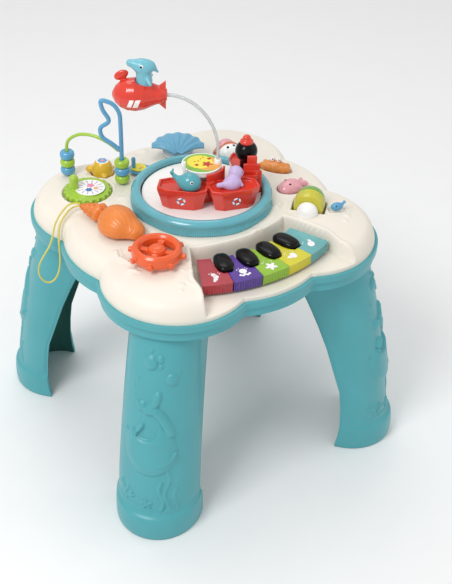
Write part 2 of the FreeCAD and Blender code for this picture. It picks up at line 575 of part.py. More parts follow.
Z_HINGE = 361.5
save("scallop_pin", cylv(1.6, sp(-11, 0, Z_HINGE), sp(11, 0, Z_HINGE)))
# lid in hinge coordinates: s along the pin, n outwards, z up; open by SCAL_OPEN at rest
SCAL_OPEN = 14.0


def scal_place(s):
    s.rotate(V(0, 0, 0), V(1, 0, 0), SCAL_OPEN)
    s.rotate(V(0, 0, 0), V(0, 0, 1), SCAL_N - 90.0)
    s.translate(V(SCAL_H[0], SCAL_H[1], Z_HINGE))
    return s


rib = []
for k in range(-3, 4):
    a = k * 20.0
    L = 44.0 - abs(k) * 1.6
    x, y = math.sin(math.radians(a)), math.cos(math.radians(a))
    r0, r1 = 3.0 + 0.07 * abs(k), 8.6 - 0.09 * abs(k)
    flute = revolve([(0.0, 0.0), (r0, 0.0), (r1, L - 4.0), (5.2, L), (0.0, L)])
    flute.Placement = FreeCAD.Placement(V(0, 5.0, 2.4 - 0.03 * k), FreeCAD.Rotation(V(0, 0, 1), V(x, y, 0.045)))
    rib.append(flute)
lid = rib[0].multiFuse(rib[1:]).cut(box(-80, 80, -80, 80, -60, 1.2))
lid = lid.cut(box(-80, 80, -80, 3.2, -60, 60)).cut(Part.makeCylinder(4.6, 60.0, V(-30, 0, 0), V(1, 0, 0)))
knuckle = fuse(Part.makeCylinder(3.4, 12.0, V(-6, 0, 0), V(1, 0, 0)), box(-6, 6, 0, 8.0, -1.0, 3.4)).cut(Part.makeCylinder(1.65, 14.0, V(-7, 0, 0), V(1, 0, 0)))
lid = lid.fuse(knuckle)
save("scallop_lid", scal_place(lid))
m_face = cyl(22.0, 356.0, 358.6, *sp(0, 27.0, 0)[:2])
save("scallop_mirror", m_face.cut(outer))
ears = []
for s0, s1 in ((-11.0, -6.6), (6.6, 11.0)):
    e = box(s0, s1, -3.4, 3.4, -9.0, 0.0).fuse(Part.makeCylinder(3.4, s1 - s0, V(s0, 0, 0), V(1, 0, 0)))
    e.rotate(V(0, 0, 0), V(0, 0, 1), SCAL_N - 90.0)
    e.translate(V(SCAL_H[0], SCAL_H[1], Z_HINGE))
    ears.append(e)
nodes["top_deck"] = nodes["top_deck"].multiFuse(ears)
nodes["top_deck"] = nodes["top_deck"].cut(cylv(1.6, sp(-15, 0, Z_HINGE), sp(15, 0, Z_HINGE)))

# ---- conch handset ------------------------------------------------------
Z_CON = 358.2
con = fuse(ell(31.0, 27.0, 24.0, -130.0, -4.0, 362.0, 80.0), ell(16.0, 14.0, 14.0, -118.0, -34.0, 362.0, 60),
           sph(14.5, -138.0, 31.0, 362.0), sph(11.5, -142.0, 43.0, 360.5), sph(8.5, -145.5, 53.0, 359.5), sph(5.5, -148.0, 61.0, 359.0))
con = con.cut(box(-220, -60, -80, 100, 300, Z_CON))
# seat that the handset rests on, part of the deck
seat = ell(17.0, 13.0, 12.0, -130.0, -4.0, 356.0, 80.0).common(box(-220, -60, -80, 100, 348.0, Z_CON - 0.3))
nodes["top_deck"] = nodes["top_deck"].fuse(seat)
save("conch_handset", con)

# ---- ship's wheel -------------------------------------------------------
whl = revolve([(21.0, 364.0), (22.0, 359.0), (31.0, 359.0), (32.5, 364.0), (31.5, 372.0), (28.0, 375.5), (24.5, 375.0), (21.6, 371.5)], *WHEEL)
spk = [revolve([(0, 358.0), (12.4, 358.0), (12.4, 367.0), (10.5, 371.5), (6.5, 374.2), (0, 375.2)], *WHEEL)]
for k in range(2):
    b = box(-23, 23, -4.0, 4.0, 361.6, 368.4)
    b.translate(V(WHEEL[0], WHEEL[1], 0))
    spk.append(turn(b, 45.0 + k * 90.0, *WHEEL))
for k in range(8):
    x0, y0 = pol(30.0, k * 45.0, *WHEEL)
    x1, y1 = pol(37.0, k * 45.0, *WHEEL)
    spk.append(cylv(3.8, (x0, y0, 364.0), (x1, y1, 364.0)))
save("ships_wheel", whl.multiFuse(spk + [cyl(5.0, 336.0, 360.0, *WHEEL)]))

# ---- keys ---------------------------------------------------------------
names = ["red", "purple", "green", "yellow", "teal"]
key_mid = [(k - 2) * KEY_STEP for k in range(5)]
black_mid = [(k - 1.5) * KEY_STEP for k in range(4)]
half = KEY_STEP / 2
g = math.degrees(KEY_GAP / 2 / 200.0)


def black_foot(a, grow, z0, z1):
    t = math.radians(a)
    x0, y0 = KEY_C[0] + 167.5 * math.sin(t), KEY_C[1] - 167.5 * math.cos(t)
    w, L = 11.6 + grow, 38.5 + grow
    pts = [(-w, -grow), (w, -grow), (w, L * 0.62), (w * 0.86, L * 0.84), (w * 0.5, L), (-w * 0.5, L), (-w * 0.86, L * 0.84), (-w, L * 0.62)]
    s = prism([(x, -y) for x, y in pts], z0, z1)
    s.rotate(V(0, 0, 0), V(0, 0, 1), a)
    s.translate(V(x0, y0, 0))
    return s


for k, a in enumerate(key_mid):
    b = fan(KEY_R0, KEY_R1, a - half + g, a + half - g, Z_FLOOR + 3.6, Z_KEYTOP)
    b = b.cut(fan(KEY_R0 + 2.2, KEY_R1 - 2.2, a - half + g + 0.7, a + half - g - 0.7, Z_FLOOR, Z_KEYTOP - 2.2))
    for bm in black_mid:
        if abs(bm - a) < 7:
            b = b.cut(black_foot(bm, 0.6, 300.0, 360.0))
    x, y = pol(200.0, -90.0 + a, *KEY_C)
    b = b.fuse(cyl(3.4, 322.5, Z_KEYTOP - 1.0, x, y))
    save("key_" + names[k], b)
for k, a in enumerate(black_mid):
    b = black_foot(a, 0.0, 341.0, 352.8)
    x, y = pol(180.0, -90.0 + a, *KEY_C)
    b = b.fuse(cyl(2.4, 322.5, 342.0, x, y))
    save("black_key_%d" % (k + 1), b)

# ---- electronics --------------------------------------------------------
pcb = fan(170.0, 232.0, -24.0, 24.0, 316.0, 317.6).common(slab(6.0, 310.0, 330.0))
save("circuit_board", pcb)
domes = []
for k, a in enumerate(key_mid):
    x, y = pol(200.0, -90.0 + a, *KEY_C)
    domes.append(Part.makeCone(3.0, 2.0, 1.6, V(x, y, 317.6)))
for k, a in enumerate(black_mid):
    x, y = pol(180.0, -90.0 + a, *KEY_C)
    domes.append(Part.makeCone(2.6, 1.8, 1.6, V(x, y, 317.6)))
save("rubber_domes", Part.makeCompound(domes))
save("speaker", fuse(cyl(25.0, 302.0, 305.0, *SPK), Part.makeCone(24.0, 12.0, 8.0, V(SPK[0], SPK[1], 305.0)), cyl(13.0, 313.0, 318.0, *SPK)))
scr = []
for x, y in SCREWS:
    scr.append(cyl(1.6, 300.6, 318.0, x, y).fuse(cyl(3.2, 299.4, 300.6, x, y)))
save("case_screws", Part.makeCompound(scr))

# ---- wrist cord ---------------------------------------------------------
CORD = [(-150.5, 63.5, 360.5), (-157.5, 67.5, 359.5), (-165.0, 66.5, 357.8), (-173.5, 62.5, 355.0), (-181.5, 58.5, 350.0), (-187.5, 55.0, 342.0),
        (-191.0, 51.5, 330.0), (-192.0, 48.5, 315.0), (-192.3, 48.0, 299.0), (-193.0, 49.5, 282.0), (-197.5, 53.0, 265.5), (-205.5, 58.5, 256.0),
        (-214.0, 64.0, 260.0), (-218.0, 66.5, 273.0), (-216.0, 65.0, 288.5), (-209.0, 60.5, 304.0), (-201.5, 56.5, 318.5), (-197.0, 55.5, 333.0),
        (-192.5, 59.0, 344.5), (-185.0, 62.5, 353.0), (-175.5, 66.5, 359.0), (-166.0, 70.5, 362.5), (-158.0, 68.8, 364.5), (-151.0, 63.5, 364.0)]
rep = []
cord, clen = tube(CORD, CORD_D, rep)
print("cord length", round(clen, 1), "volume ratio", round(cord.Volume / (clen * math.pi * CORD_D ** 2 / 4), 4))
print("cord radii and turns", rep)
cord = cord.cut(nodes["conch_handset"])
save("wrist_cord", cord)

# ---- write --------------------------------------------------------------
for name, s in nodes.items():
    solids = s.Solids
    if len(solids) == 1:
        s = solids[0]
    else:
        s = Part.makeCompound(solids)
    bb = s.BoundBox
    print("%-20s solids %d valid %s vol %.0f  x %.1f %.1f y %.1f %.1f z %.1f %.1f" % (
        name, len(solids), s.isValid(), s.Volume, bb.XMin, bb.XMax, bb.YMin, bb.YMax, bb.ZMin, bb.ZMax))
    s.exportStep("parts/%s.step" % name)
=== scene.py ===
import math
import bpy
import bmesh
import numpy as np
from mathutils import Matrix, Vector


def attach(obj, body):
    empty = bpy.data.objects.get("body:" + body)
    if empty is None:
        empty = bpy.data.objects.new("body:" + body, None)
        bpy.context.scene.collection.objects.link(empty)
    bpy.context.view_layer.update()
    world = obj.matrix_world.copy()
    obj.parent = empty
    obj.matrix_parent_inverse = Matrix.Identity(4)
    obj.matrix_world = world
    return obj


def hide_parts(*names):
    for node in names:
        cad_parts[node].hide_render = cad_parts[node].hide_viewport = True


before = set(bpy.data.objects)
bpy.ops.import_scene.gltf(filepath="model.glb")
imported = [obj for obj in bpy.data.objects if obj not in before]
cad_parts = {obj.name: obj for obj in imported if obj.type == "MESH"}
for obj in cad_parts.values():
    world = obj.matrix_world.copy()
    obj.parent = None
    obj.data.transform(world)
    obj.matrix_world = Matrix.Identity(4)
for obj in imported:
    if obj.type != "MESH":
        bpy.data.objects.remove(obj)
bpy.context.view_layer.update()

MM = 0.001
scn = bpy.context.scene
scn.view_settings.view_transform = "Standard"

# ---------------------------------------------------------------- camera
az, el = math.radians(-30.83), math.radians(36.11)
back = Vector((math.sin(az) * math.cos(el), -math.cos(az) * math.cos(el), math.sin(el)))
right = Vector((math.cos(az), math.sin(az), 0.0))
up = back.cross(right)
cd = bpy.data.cameras.new("view")
cam = bpy.data.objects.new("view", cd)
scn.collection.objects.link(cam)
M = Matrix((right, up, back)).transposed().to_4x4()
M.translation = Vector((-0.65844, -1.03097, 1.10493))
cam.matrix_world = M
cd.sensor_fit = "VERTICAL"
cd.sensor_height = 36.0
cd.lens = 64.95
cd.shift_x = 0.0894
cd.shift_y = -0.0122
cd.clip_start = 0.05
cd.clip_end = 50.0
scn.camera = cam


# ---------------------------------------------------------------- materials
def lin(h):
    c = [int(h[i:i + 2], 16) / 255 for i in (0, 2, 4)]
    return [v / 12.92 if v < 0.04045 else ((v + 0.055) / 1.055) ** 2.4 for v in c]


def plastic(name, hexc, rough=0.32, var=0.05, grain=0.06, gscale=1400.0, coat=0.0, trans=0.0, ior=1.47, sss=0.0, wave=None, dark=None):
    """Moulded plastic: faint flow mottling, uneven polish and a fine surface grain."""
    m = bpy.data.materials.new(name)
    m.use_nodes = True
    nt = m.node_tree
    p = nt.nodes["Principled BSDF"]
    co = nt.nodes.new("ShaderNodeTexCoord")
    n1 = nt.nodes.new("ShaderNodeTexNoise")
    n1.inputs["Scale"].default_value = 22.0
    n1.inputs["Detail"].default_value = 4.0
    nt.links.new(co.outputs["Object"], n1.inputs["Vector"])
    r = nt.nodes.new("ShaderNodeValToRGB")
    c = lin(hexc)
    d = lin(dark) if dark else [v * (1 - var * 1.6) for v in c]
    r.color_ramp.elements[0].position = 0.25
    r.color_ramp.elements[1].position = 0.75
    r.color_ramp.elements[0].color = (*d, 1)
    r.color_ramp.elements[1].color = (*[min(1, v * (1 + var)) for v in c], 1)
    nt.links.new(n1.outputs["Fac"], r.inputs["Fac"])
    nt.links.new(r.outputs["Color"], p.inputs["Base Color"])
    n2 = nt.nodes.new("ShaderNodeTexNoise")
    n2.inputs["Scale"].default_value = 90.0
    n2.inputs["Detail"].default_value = 3.0
    nt.links.new(co.outputs["Object"], n2.inputs["Vector"])
    mr = nt.nodes.new("ShaderNodeMapRange")
    mr.inputs["To Min"].default_value = rough * 0.86
    mr.inputs["To Max"].default_value = rough * 1.16
    nt.links.new(n2.outputs["Fac"], mr.inputs["Value"])
    nt.links.new(mr.outputs["Result"], p.inputs["Roughness"])
    n3 = nt.nodes.new("ShaderNodeTexNoise")
    n3.inputs["Scale"].default_value = gscale
    n3.inputs["Detail"].default_value = 2.0
    nt.links.new(co.outputs["Object"], n3.inputs["Vector"])
    b = nt.nodes.new("ShaderNodeBump")
    b.inputs["Strength"].default_value = grain
    b.inputs["Distance"].default_value = 0.0004
    h = n3.outputs["Fac"]
    if wave:
        w = nt.nodes.new("ShaderNodeTexWave")
        w.inputs["Scale"].default_value = wave
        w.inputs["Distortion"].default_value = 0.4
        w.bands_direction = "DIAGONAL"
        nt.links.new(co.outputs["Object"], w.inputs["Vector"])
        h = w.outputs["Fac"]
    nt.links.new(h, b.inputs["Height"])
    nt.links.new(b.outputs["Normal"], p.inputs["Normal"])
    p.inputs["IOR"].default_value = ior
    p.inputs["Coat Weight"].default_value = coat
    p.inputs["Coat Roughness"].default_value = 0.08
    p.inputs["Transmission Weight"].default_value = trans
    if sss:
        p.inputs["Subsurface Weight"].default_value = sss
        p.inputs["Subsurface Radius"].default_value = (0.004, 0.004, 0.004)
        p.inputs["Subsurface Scale"].default_value = 1.0
    return m


MAT = {
    "cream": plastic("ivory_grained", "ECE5D8", 0.42, 0.02, 0.10, 1700),
    "teal": plastic("teal_shell", "4FA5AD", 0.34, 0.03, 0.05, 1500),
    # darker copy of the leg teal: painted shade for the hollow inside of the legs
    "teal_painted_shade_in": plastic("teal_inside_painted_shade", "23605A", 0.5, 0.05, 0.08, 1200),
    "ring": plastic("ring_translucent", "62AFBC", 0.2, 0.05, 0.02, 900, coat=0.5, sss=0.15),
    "white": plastic("white_moulded", "F4F3F0", 0.28, 0.02, 0.04, 1500, coat=0.2),
    "clear": plastic("clear_tube", "F2F6F7", 0.12, 0.01, 0.01, 600, coat=0.5, trans=0.45),
    "red": plastic("red_boat", "DD3A28", 0.2, 0.04, 0.03, 1200, coat=0.5),
    "orange": plastic("conch_orange", "E3873F", 0.33, 0.09, 0.05, 1300, coat=0.1, dark="D9752C"),
    "orange_red": plastic("wheel_orange", "E95F2A", 0.24, 0.04, 0.03, 1200, coat=0.35),
    "yellow": plastic("turtle_gold", "DFB22C", 0.22, 0.06, 0.03, 1200, coat=0.4),
    "lime": plastic("lime_toy", "A2C83F", 0.26, 0.04, 0.03, 1200, coat=0.3),
    "blue": plastic("blue_toy", "5BA2CC", 0.26, 0.04, 0.03, 1200, coat=0.3),
    "shell": plastic("scallop_blue", "6CACCB", 0.36, 0.04, 0.05, 1200, coat=0.1),
    "whale": plastic("whale_teal", "55A6B1", 0.26, 0.04, 0.03, 1200, coat=0.25),
    "lilac": plastic("seal_lilac", "C6B2DC", 0.42, 0.03, 0.05, 1200, sss=0.08),
    "shark": plastic("shark_sky", "72B8C8", 0.3, 0.04, 0.03, 1200, coat=0.2),
    "pink": plastic("pink_fish", "E5A3AC", 0.24, 0.05, 0.03, 1200, coat=0.3, sss=0.08),
    "crab": plastic("crab_orange", "E18B3B", 0.26, 0.06, 0.03, 1200, coat=0.3),
    "brown": plastic("fur_orange", "CF6A33", 0.3, 0.05, 0.03, 1200, coat=0.2),
    "black": plastic("gloss_black", "0C0C0E", 0.16, 0.2, 0.01, 800, coat=0.0, ior=1.3),
    "eye_white": plastic("eye_white", "FAFAF8", 0.18, 0.01, 0.01, 900, coat=0.4),
    "steel": plastic("zinc", "9A9CA0", 0.35, 0.06, 0.06, 1500),
    "rubber": plastic("grey_rubber", "5A5A5A", 0.7, 0.06, 0.1, 1200),
    "board": plastic("board_green", "2E5A3A", 0.5, 0.08, 0.05, 1200),
    "mirror": plastic("mirror_film", "D5DADC", 0.06, 0.02, 0.01, 400),
    "roller_y": plastic("roller_olive", "C9C13A", 0.2, 0.05, 0.02, 900, coat=0.4, sss=0.1),
    "roller_g": plastic("roller_green", "6FA52C", 0.2, 0.05, 0.02, 900, coat=0.4, sss=0.1),
    "k_red": plastic("key_red", "B93C48", 0.2, 0.08, 0.02, 900, coat=0.5, sss=0.2, trans=0.12),
    "k_purple": plastic("key_purple", "5A36A0", 0.2, 0.1, 0.02, 900, coat=0.5, sss=0.2, trans=0.12),
    "k_green": plastic("key_green", "9CCB33", 0.2, 0.08, 0.02, 900, coat=0.5, sss=0.2, trans=0.12),
    "k_yellow": plastic("key_yellow", "E2D92F", 0.2, 0.08, 0.02, 900, coat=0.5, sss=0.2, trans=0.12),
    "k_teal": plastic("key_teal", "6DB9BB", 0.2, 0.08, 0.02, 900, coat=0.5, sss=0.2, trans=0.12),
    "print_white": plastic("print_white", "F3EFF2", 0.4, 0.02, 0.02, 900),
    "print_red": plastic("print_red", "C2352B", 0.4, 0.04, 0.02, 900),
    "print_yellow": plastic("print_yellow", "F0E24A", 0.35, 0.05, 0.02, 900),
    "print_green": plastic("print_green", "86BC4A", 0.35, 0.05, 0.02, 900),
    "print_orange": plastic("print_orange", "EDA94E", 0.35, 0.05, 0.02, 900),
    "print_purple": plastic("print_purple", "A98CCB", 0.4, 0.05, 0.02, 900),
    "print_blue": plastic("print_blue", "3F78B4", 0.35, 0.05, 0.02, 900),
    "print_pink": plastic("print_pink", "E88FB0", 0.4, 0.05, 0.02, 900),
    "cord": plastic("cord_yellow", "EBDD6C", 0.75, 0.10, 0.6, 900, wave=420.0),
}

# ---------------------------------------------------------------- mesh tools
def add(name, v, f, mat, body, smooth=True, replaces=()):
    me = bpy.data.meshes.new(name)
    me.from_pydata((np.asarray(v, float) * MM).tolist(), [], [list(map(int, q)) for q in f])
    me.validate()
    me.update()
    if smooth:
        me.polygons.foreach_set("use_smooth", [True] * len(me.polygons))
    me.materials.append(MAT[mat])
    o = bpy.data.objects.new(name, me)
    scn.collection.objects.link(o)
    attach(o, body)
    if replaces:
        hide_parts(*replaces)
    return o


def lathe(name, prof, mat, body, c=(0, 0, 0), ax=(0, 0, 1), n=48, rmod=None, replaces=()):
    """Closed turned form. prof is (radius, height); the ends sit on the axis."""
    prof = np.array(prof, float)
    th = np.arange(n) * 2 * math.pi / n
    w = np.array(ax, float); w /= np.linalg.norm(w)
    a = np.array([1.0, 0, 0]) if abs(w[0]) < 0.8 else np.array([0, 1.0, 0])
    u = np.cross(w, a); u /= np.linalg.norm(u)
    if abs(w[2]) > 0.999:
        u = np.array([1.0, 0, 0])
    t = np.cross(w, u)
    v, f = [], []
    for i, (r, z) in enumerate(prof):
        rr = rmod(r, z, th) if rmod else np.full(n, r)
        for k in range(n):
            v.append(np.array(c) + u * rr[k] * math.cos(th[k]) + t * rr[k] * math.sin(th[k]) + w * z)
    m = len(prof)
    for i in range(m - 1):
        for k in range(n):
            k1 = (k + 1) % n
            f.append((i * n + k, i * n + k1, (i + 1) * n + k1, (i + 1) * n + k))
    if prof[0][0] == prof[-1][0] and prof[0][1] == prof[-1][1]:
        f = [tuple(q % ((m - 1) * n) if q >= (m - 1) * n else q for q in t4) for t4 in f]
        v = v[:(m - 1) * n]
    else:
        f.append(tuple(range(n - 1, -1, -1)))
        f.append(tuple((m - 1) * n + k for k in range(n)))
    return add(name, v, f, mat, body, True, replaces)


def curve_tube(name, pts, r, mat, body, replaces=(), order=3, res=14):
    """Round rod along a smooth spline through a handful of control points (mm)."""
    cu = bpy.data.curves.new(name, "CURVE")
    cu.dimensions = "3D"
    cu.bevel_depth = r * MM
    cu.bevel_resolution = 5
    cu.use_fill_caps = True
    cu.resolution_u = res
    s = cu.splines.new("NURBS")
    s.points.add(len(pts) - 1)
    for q, p in zip(s.points, pts):
        q.co = (p[0] * MM, p[1] * MM, p[2] * MM, 1.0)
    s.order_u = order
    s.use_endpoint_u = True
    cu.materials.append(MAT[mat])
    o = bpy.data.objects.new(name, cu)
    scn.collection.objects.link(o)
    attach(o, body)
    if replaces:
        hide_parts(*replaces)
    return o


def soften(node, mat, body, voxel=0.7, it=4, fac=0.5, move=None, name=None):
    """A CAD shape with its moulded edge radii: fine remesh, then relaxed."""
    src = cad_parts[node]
    me = src.data.copy()
    o = bpy.data.objects.new(name or node + "_moulded", me)
    scn.collection.objects.link(o)
    o.matrix_world = src.matrix_world.copy()
    bpy.context.view_layer.update()
    me.transform(o.matrix_world)
    o.matrix_world = Matrix.Identity(4)
    bm = bmesh.new(); bm.from_mesh(me)
    bmesh.ops.remove_doubles(bm, verts=bm.verts, dist=1e-5)
    bm.to_mesh(me); bm.free()
    md = o.modifiers.new("r", "REMESH"); md.mode = "VOXEL"; md.voxel_size = voxel * MM; md.use_smooth_shade = True
    ms = o.modifiers.new("s", "SMOOTH"); ms.iterations = it; ms.factor = fac
    dg = bpy.context.evaluated_depsgraph_get()
    new = bpy.data.meshes.new_from_object(o.evaluated_get(dg))
    o.modifiers.clear()
    o.data = new
    new.materials.clear(); new.materials.append(MAT[mat])
    if move:
        co = np.zeros(len(new.vertices) * 3); new.vertices.foreach_get("co", co)
        co = co.reshape(-1, 3) / MM
        co = move(co)
        new.vertices.foreach_set("co", (co * MM).ravel())
    new.polygons.foreach_set("use_smooth", [True] * len(new.polygons))
    new.update()
    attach(o, body)
    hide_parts(node)
    return o


def rounded(pts, frac=0.45, n=8):
    """Rod centre line with its corners rounded off between tangent points."""
    P = [np.array(q, float) for q in pts]
    out = [P[0]]
    for i_ in range(1, len(P) - 1):
        a_, b_ = P[i_] - P[i_ - 1], P[i_ + 1] - P[i_]
        la, lb = np.linalg.norm(a_), np.linalg.norm(b_)
        t_ = frac * min(la, lb)
        p0, p1 = P[i_] - a_ / la * t_, P[i_] + b_ / lb * t_
        for k_ in range(n + 1):
            w_ = k_ / n
            out.append((1 - w_) ** 2 * p0 + 2 * w_ * (1 - w_) * P[i_] + w_ * w_ * p1)
    out.append(P[-1])
    return [tuple(q) for q in out]


# signed distances, mm
def E(X, Y, Z, c, r, rot=0.0, tilt=0.0):
    """Ellipsoid; rot turns it about Z in degrees, tilt lifts its long axis."""
    x, y, z = X - c[0], Y - c[1], Z - c[2]
    a = math.radians(rot)
    u, v = x * math.cos(a) + y * math.sin(a), -x * math.sin(a) + y * math.cos(a)
    b = math.radians(tilt)
    u, w = u * math.cos(b) + z * math.sin(b), -u * math.sin(b) + z * math.cos(b)
    k0 = np.sqrt((u / r[0]) ** 2 + (v / r[1]) ** 2 + (w / r[2]) ** 2)
    k1 = np.sqrt((u / r[0] ** 2) ** 2 + (v / r[1] ** 2) ** 2 + (w / r[2] ** 2) ** 2) + 1e-9
    return k0 * (k0 - 1) / k1


def C(X, Y, Z, a, b, r0, r1=None):
    r1 = r0 if r1 is None else r1
    a, b = np.array(a, float), np.array(b, float)
    d = b - a
    t = np.clip(((X - a[0]) * d[0] + (Y - a[1]) * d[1] + (Z - a[2]) * d[2]) / (d @ d), 0, 1)
    return np.sqrt((X - a[0] - t * d[0]) ** 2 + (Y - a[1] - t * d[1]) ** 2 + (Z - a[2] - t * d[2]) ** 2) - (r0 + (r1 - r0) * t)


def U(a, b, k=2.0):
    h = np.clip(0.5 + 0.5 * (b - a) / k, 0, 1)
    return b * (1 - h) + a * h - k * h * (1 - h)


def SUB(a, b, k=1.0):
    return -U(-a, b, k)


def nets(name, fn, lo, hi, h, mat, body, replaces=()):
    """Closed smooth mesh of the zero surface of fn."""
    lo, hi = np.array(lo, float), np.array(hi, float)
    n = np.ceil((hi - lo) / h).astype(int) + 1
    ax = [lo[i] + h * np.arange(n[i]) for i in range(3)]
    D = fn(*np.meshgrid(*ax, indexing="ij"))
    D[0], D[-1] = np.maximum(D[0], 0.1), np.maximum(D[-1], 0.1)
    D[:, 0], D[:, -1] = np.maximum(D[:, 0], 0.1), np.maximum(D[:, -1], 0.1)
    D[:, :, 0], D[:, :, -1] = np.maximum(D[:, :, 0], 0.1), np.maximum(D[:, :, -1], 0.1)
    cell = tuple(n - 1)
    acc = np.zeros(cell + (3,)); cnt = np.zeros(cell)
    crosses = []
    for a in range(3):
        s0, s1 = [slice(None)] * 3, [slice(None)] * 3
        s0[a], s1[a] = slice(0, -1), slice(1, None)
        d0, d1 = D[tuple(s0)], D[tuple(s1)]
        cr = (d0 < 0) != (d1 < 0)
        t = np.where(cr, d0 / np.where(cr, d0 - d1, 1.0), 0)
        I = list(np.indices(d0.shape).astype(float)); I[a] = I[a] + t
        b, c = [k for k in range(3) if k != a]
        for ob in (0, 1):
            for oc in (0, 1):
                se = [slice(None)] * 3
                se[b] = slice(1, None) if ob else slice(0, -1)
                se[c] = slice(1, None) if oc else slice(0, -1)
                m = cr[tuple(se)]
                cnt += m
                for k in range(3):
                    acc[..., k] += np.where(m, I[k][tuple(se)], 0)
        crosses.append((a, b, c, cr, d0 < 0))
    idx = -np.ones(cell, int)
    on = cnt > 0
    idx[on] = np.arange(on.sum())
    V_ = acc[on] / cnt[on][:, None] * h + lo
    F = []
    for a, b, c, cr, ins in crosses:
        P = np.argwhere(cr)
        P = P[(P[:, b] > 0) & (P[:, c] > 0) & (P[:, b] < n[b] - 1) & (P[:, c] < n[c] - 1)]
        q = []
        for ob, oc in ((1, 1), (0, 1), (0, 0), (1, 0)):
            R = P.copy(); R[:, b] -= ob; R[:, c] -= oc
            q.append(idx[R[:, 0], R[:, 1], R[:, 2]])
        q = np.stack(q, 1)
        flip = ins[P[:, 0], P[:, 1], P[:, 2]]
        if a == 1:
            flip = ~flip
        q[~flip] = q[~flip][:, ::-1]
        F.append(q)
    F = np.concatenate(F)
    for _ in range(2):
        x, y, z = V_.T
        d = fn(x, y, z); e = 0.05
        g = np.stack([fn(x + e, y, z) - d, fn(x, y + e, z) - d, fn(x, y, z + e) - d], 1) / e
        V_ = V_ - np.clip(d, -0.5 * h, 0.5 * h)[:, None] * g / np.maximum((g * g).sum(1), 0.25)[:, None]
    return add(name, V_, F, mat, body, True, replaces)


def ball(name, c, r, mat, body, ax=(0, 0, 1), sq=1.0, n=28):
    """Small domed spot, such as an eye."""
    m = 12
    prof = [(max(r * math.sin(math.pi * i / m), 0.01), -r * sq * math.cos(math.pi * i / m)) for i in range(m + 1)]
    return lathe(name, prof, mat, body, c, ax, n)


# ---------------------------------------------------------------- cord
ROUTE = [(-150.5, 63.5, 360.5), (-157.5, 67.5, 359.5), (-165.0, 66.5, 357.8), (-173.5, 62.5, 355.0), (-181.5, 58.5, 350.0), (-187.5, 55.0, 342.0),
         (-191.0, 51.5, 330.0), (-192.0, 48.5, 315.0), (-192.3, 48.0, 299.0), (-193.0, 49.5, 282.0), (-197.5, 53.0, 265.5), (-205.5, 58.5, 256.0),
         (-214.0, 64.0, 260.0), (-218.0, 66.5, 273.0), (-216.0, 65.0, 288.5), (-209.0, 60.5, 304.0), (-201.5, 56.5, 318.5), (-197.0, 55.5, 333.0),
         (-192.5, 59.0, 344.5), (-185.0, 62.5, 353.0), (-175.5, 66.5, 359.0), (-166.0, 70.5, 362.5), (-158.0, 68.8, 364.5), (-151.0, 63.5, 364.0)]
cu = bpy.data.curves.new("wrist_strap", "CURVE")
cu.dimensions = "3D"
cu.bevel_depth = 1.2 * MM
cu.bevel_resolution = 4
cu.use_fill_caps = True
sp = cu.splines.new("NURBS")
sp.points.add(len(ROUTE) - 1)
for q, p in zip(sp.points, ROUTE):
    q.co = (p[0] * MM, p[1] * MM, p[2] * MM, 1.0)
sp.order_u = 3
sp.use_endpoint_u = True
cu.resolution_u = 12
cu.materials.append(MAT["cord"])
strap = bpy.data.objects.new("wrist_strap", cu)
scn.collection.objects.link(strap)
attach(strap, "handset")
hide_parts("wrist_cord")

# ---------------------------------------------------------------- deck
LC, LR, SC, SR = 99.0, 97.0, 64.5, 130.2


def inset(x, y):
    d = [LR - np.hypot(x - sx * LC, y - sy * LC) for sx in (1, -1) for sy in (1, -1)]
    d += [SR - np.hypot(x - sx * SC, y - sy * SC) for sx, sy in ((1, 0), (-1, 0), (0, 1), (0, -1))]
    m = d[0]
    for q in d[1:]:
        m = np.maximum(m, q)
    return m


def sstep(e0, e1, x):
    t = np.clip((x - e0) / (e1 - e0), 0, 1)
    return t * t * (3 - 2 * t)


def seg(x, y, ax_, ay, bx, by):
    dx, dy = bx - ax_, by - ay
    t = np.clip(((x - ax_) * dx + (y - ay) * dy) / (dx * dx + dy * dy), 0, 1)
    return np.hypot(x - ax_ - t * dx, y - ay - t * dy)


GEAR, TURTLE, SDIAL = (-120.0, 103.5), (-79.0, 136.0), (-34.0, 112.5)
MONKEY, CRAB, FISH = (103.0, 90.0), (139.0, 23.0), (127.5, -34.0)
ROLL, SWITCH, WHEEL = (118.0, -86.0), (146.0, -111.0), (-121.0, -90.0)


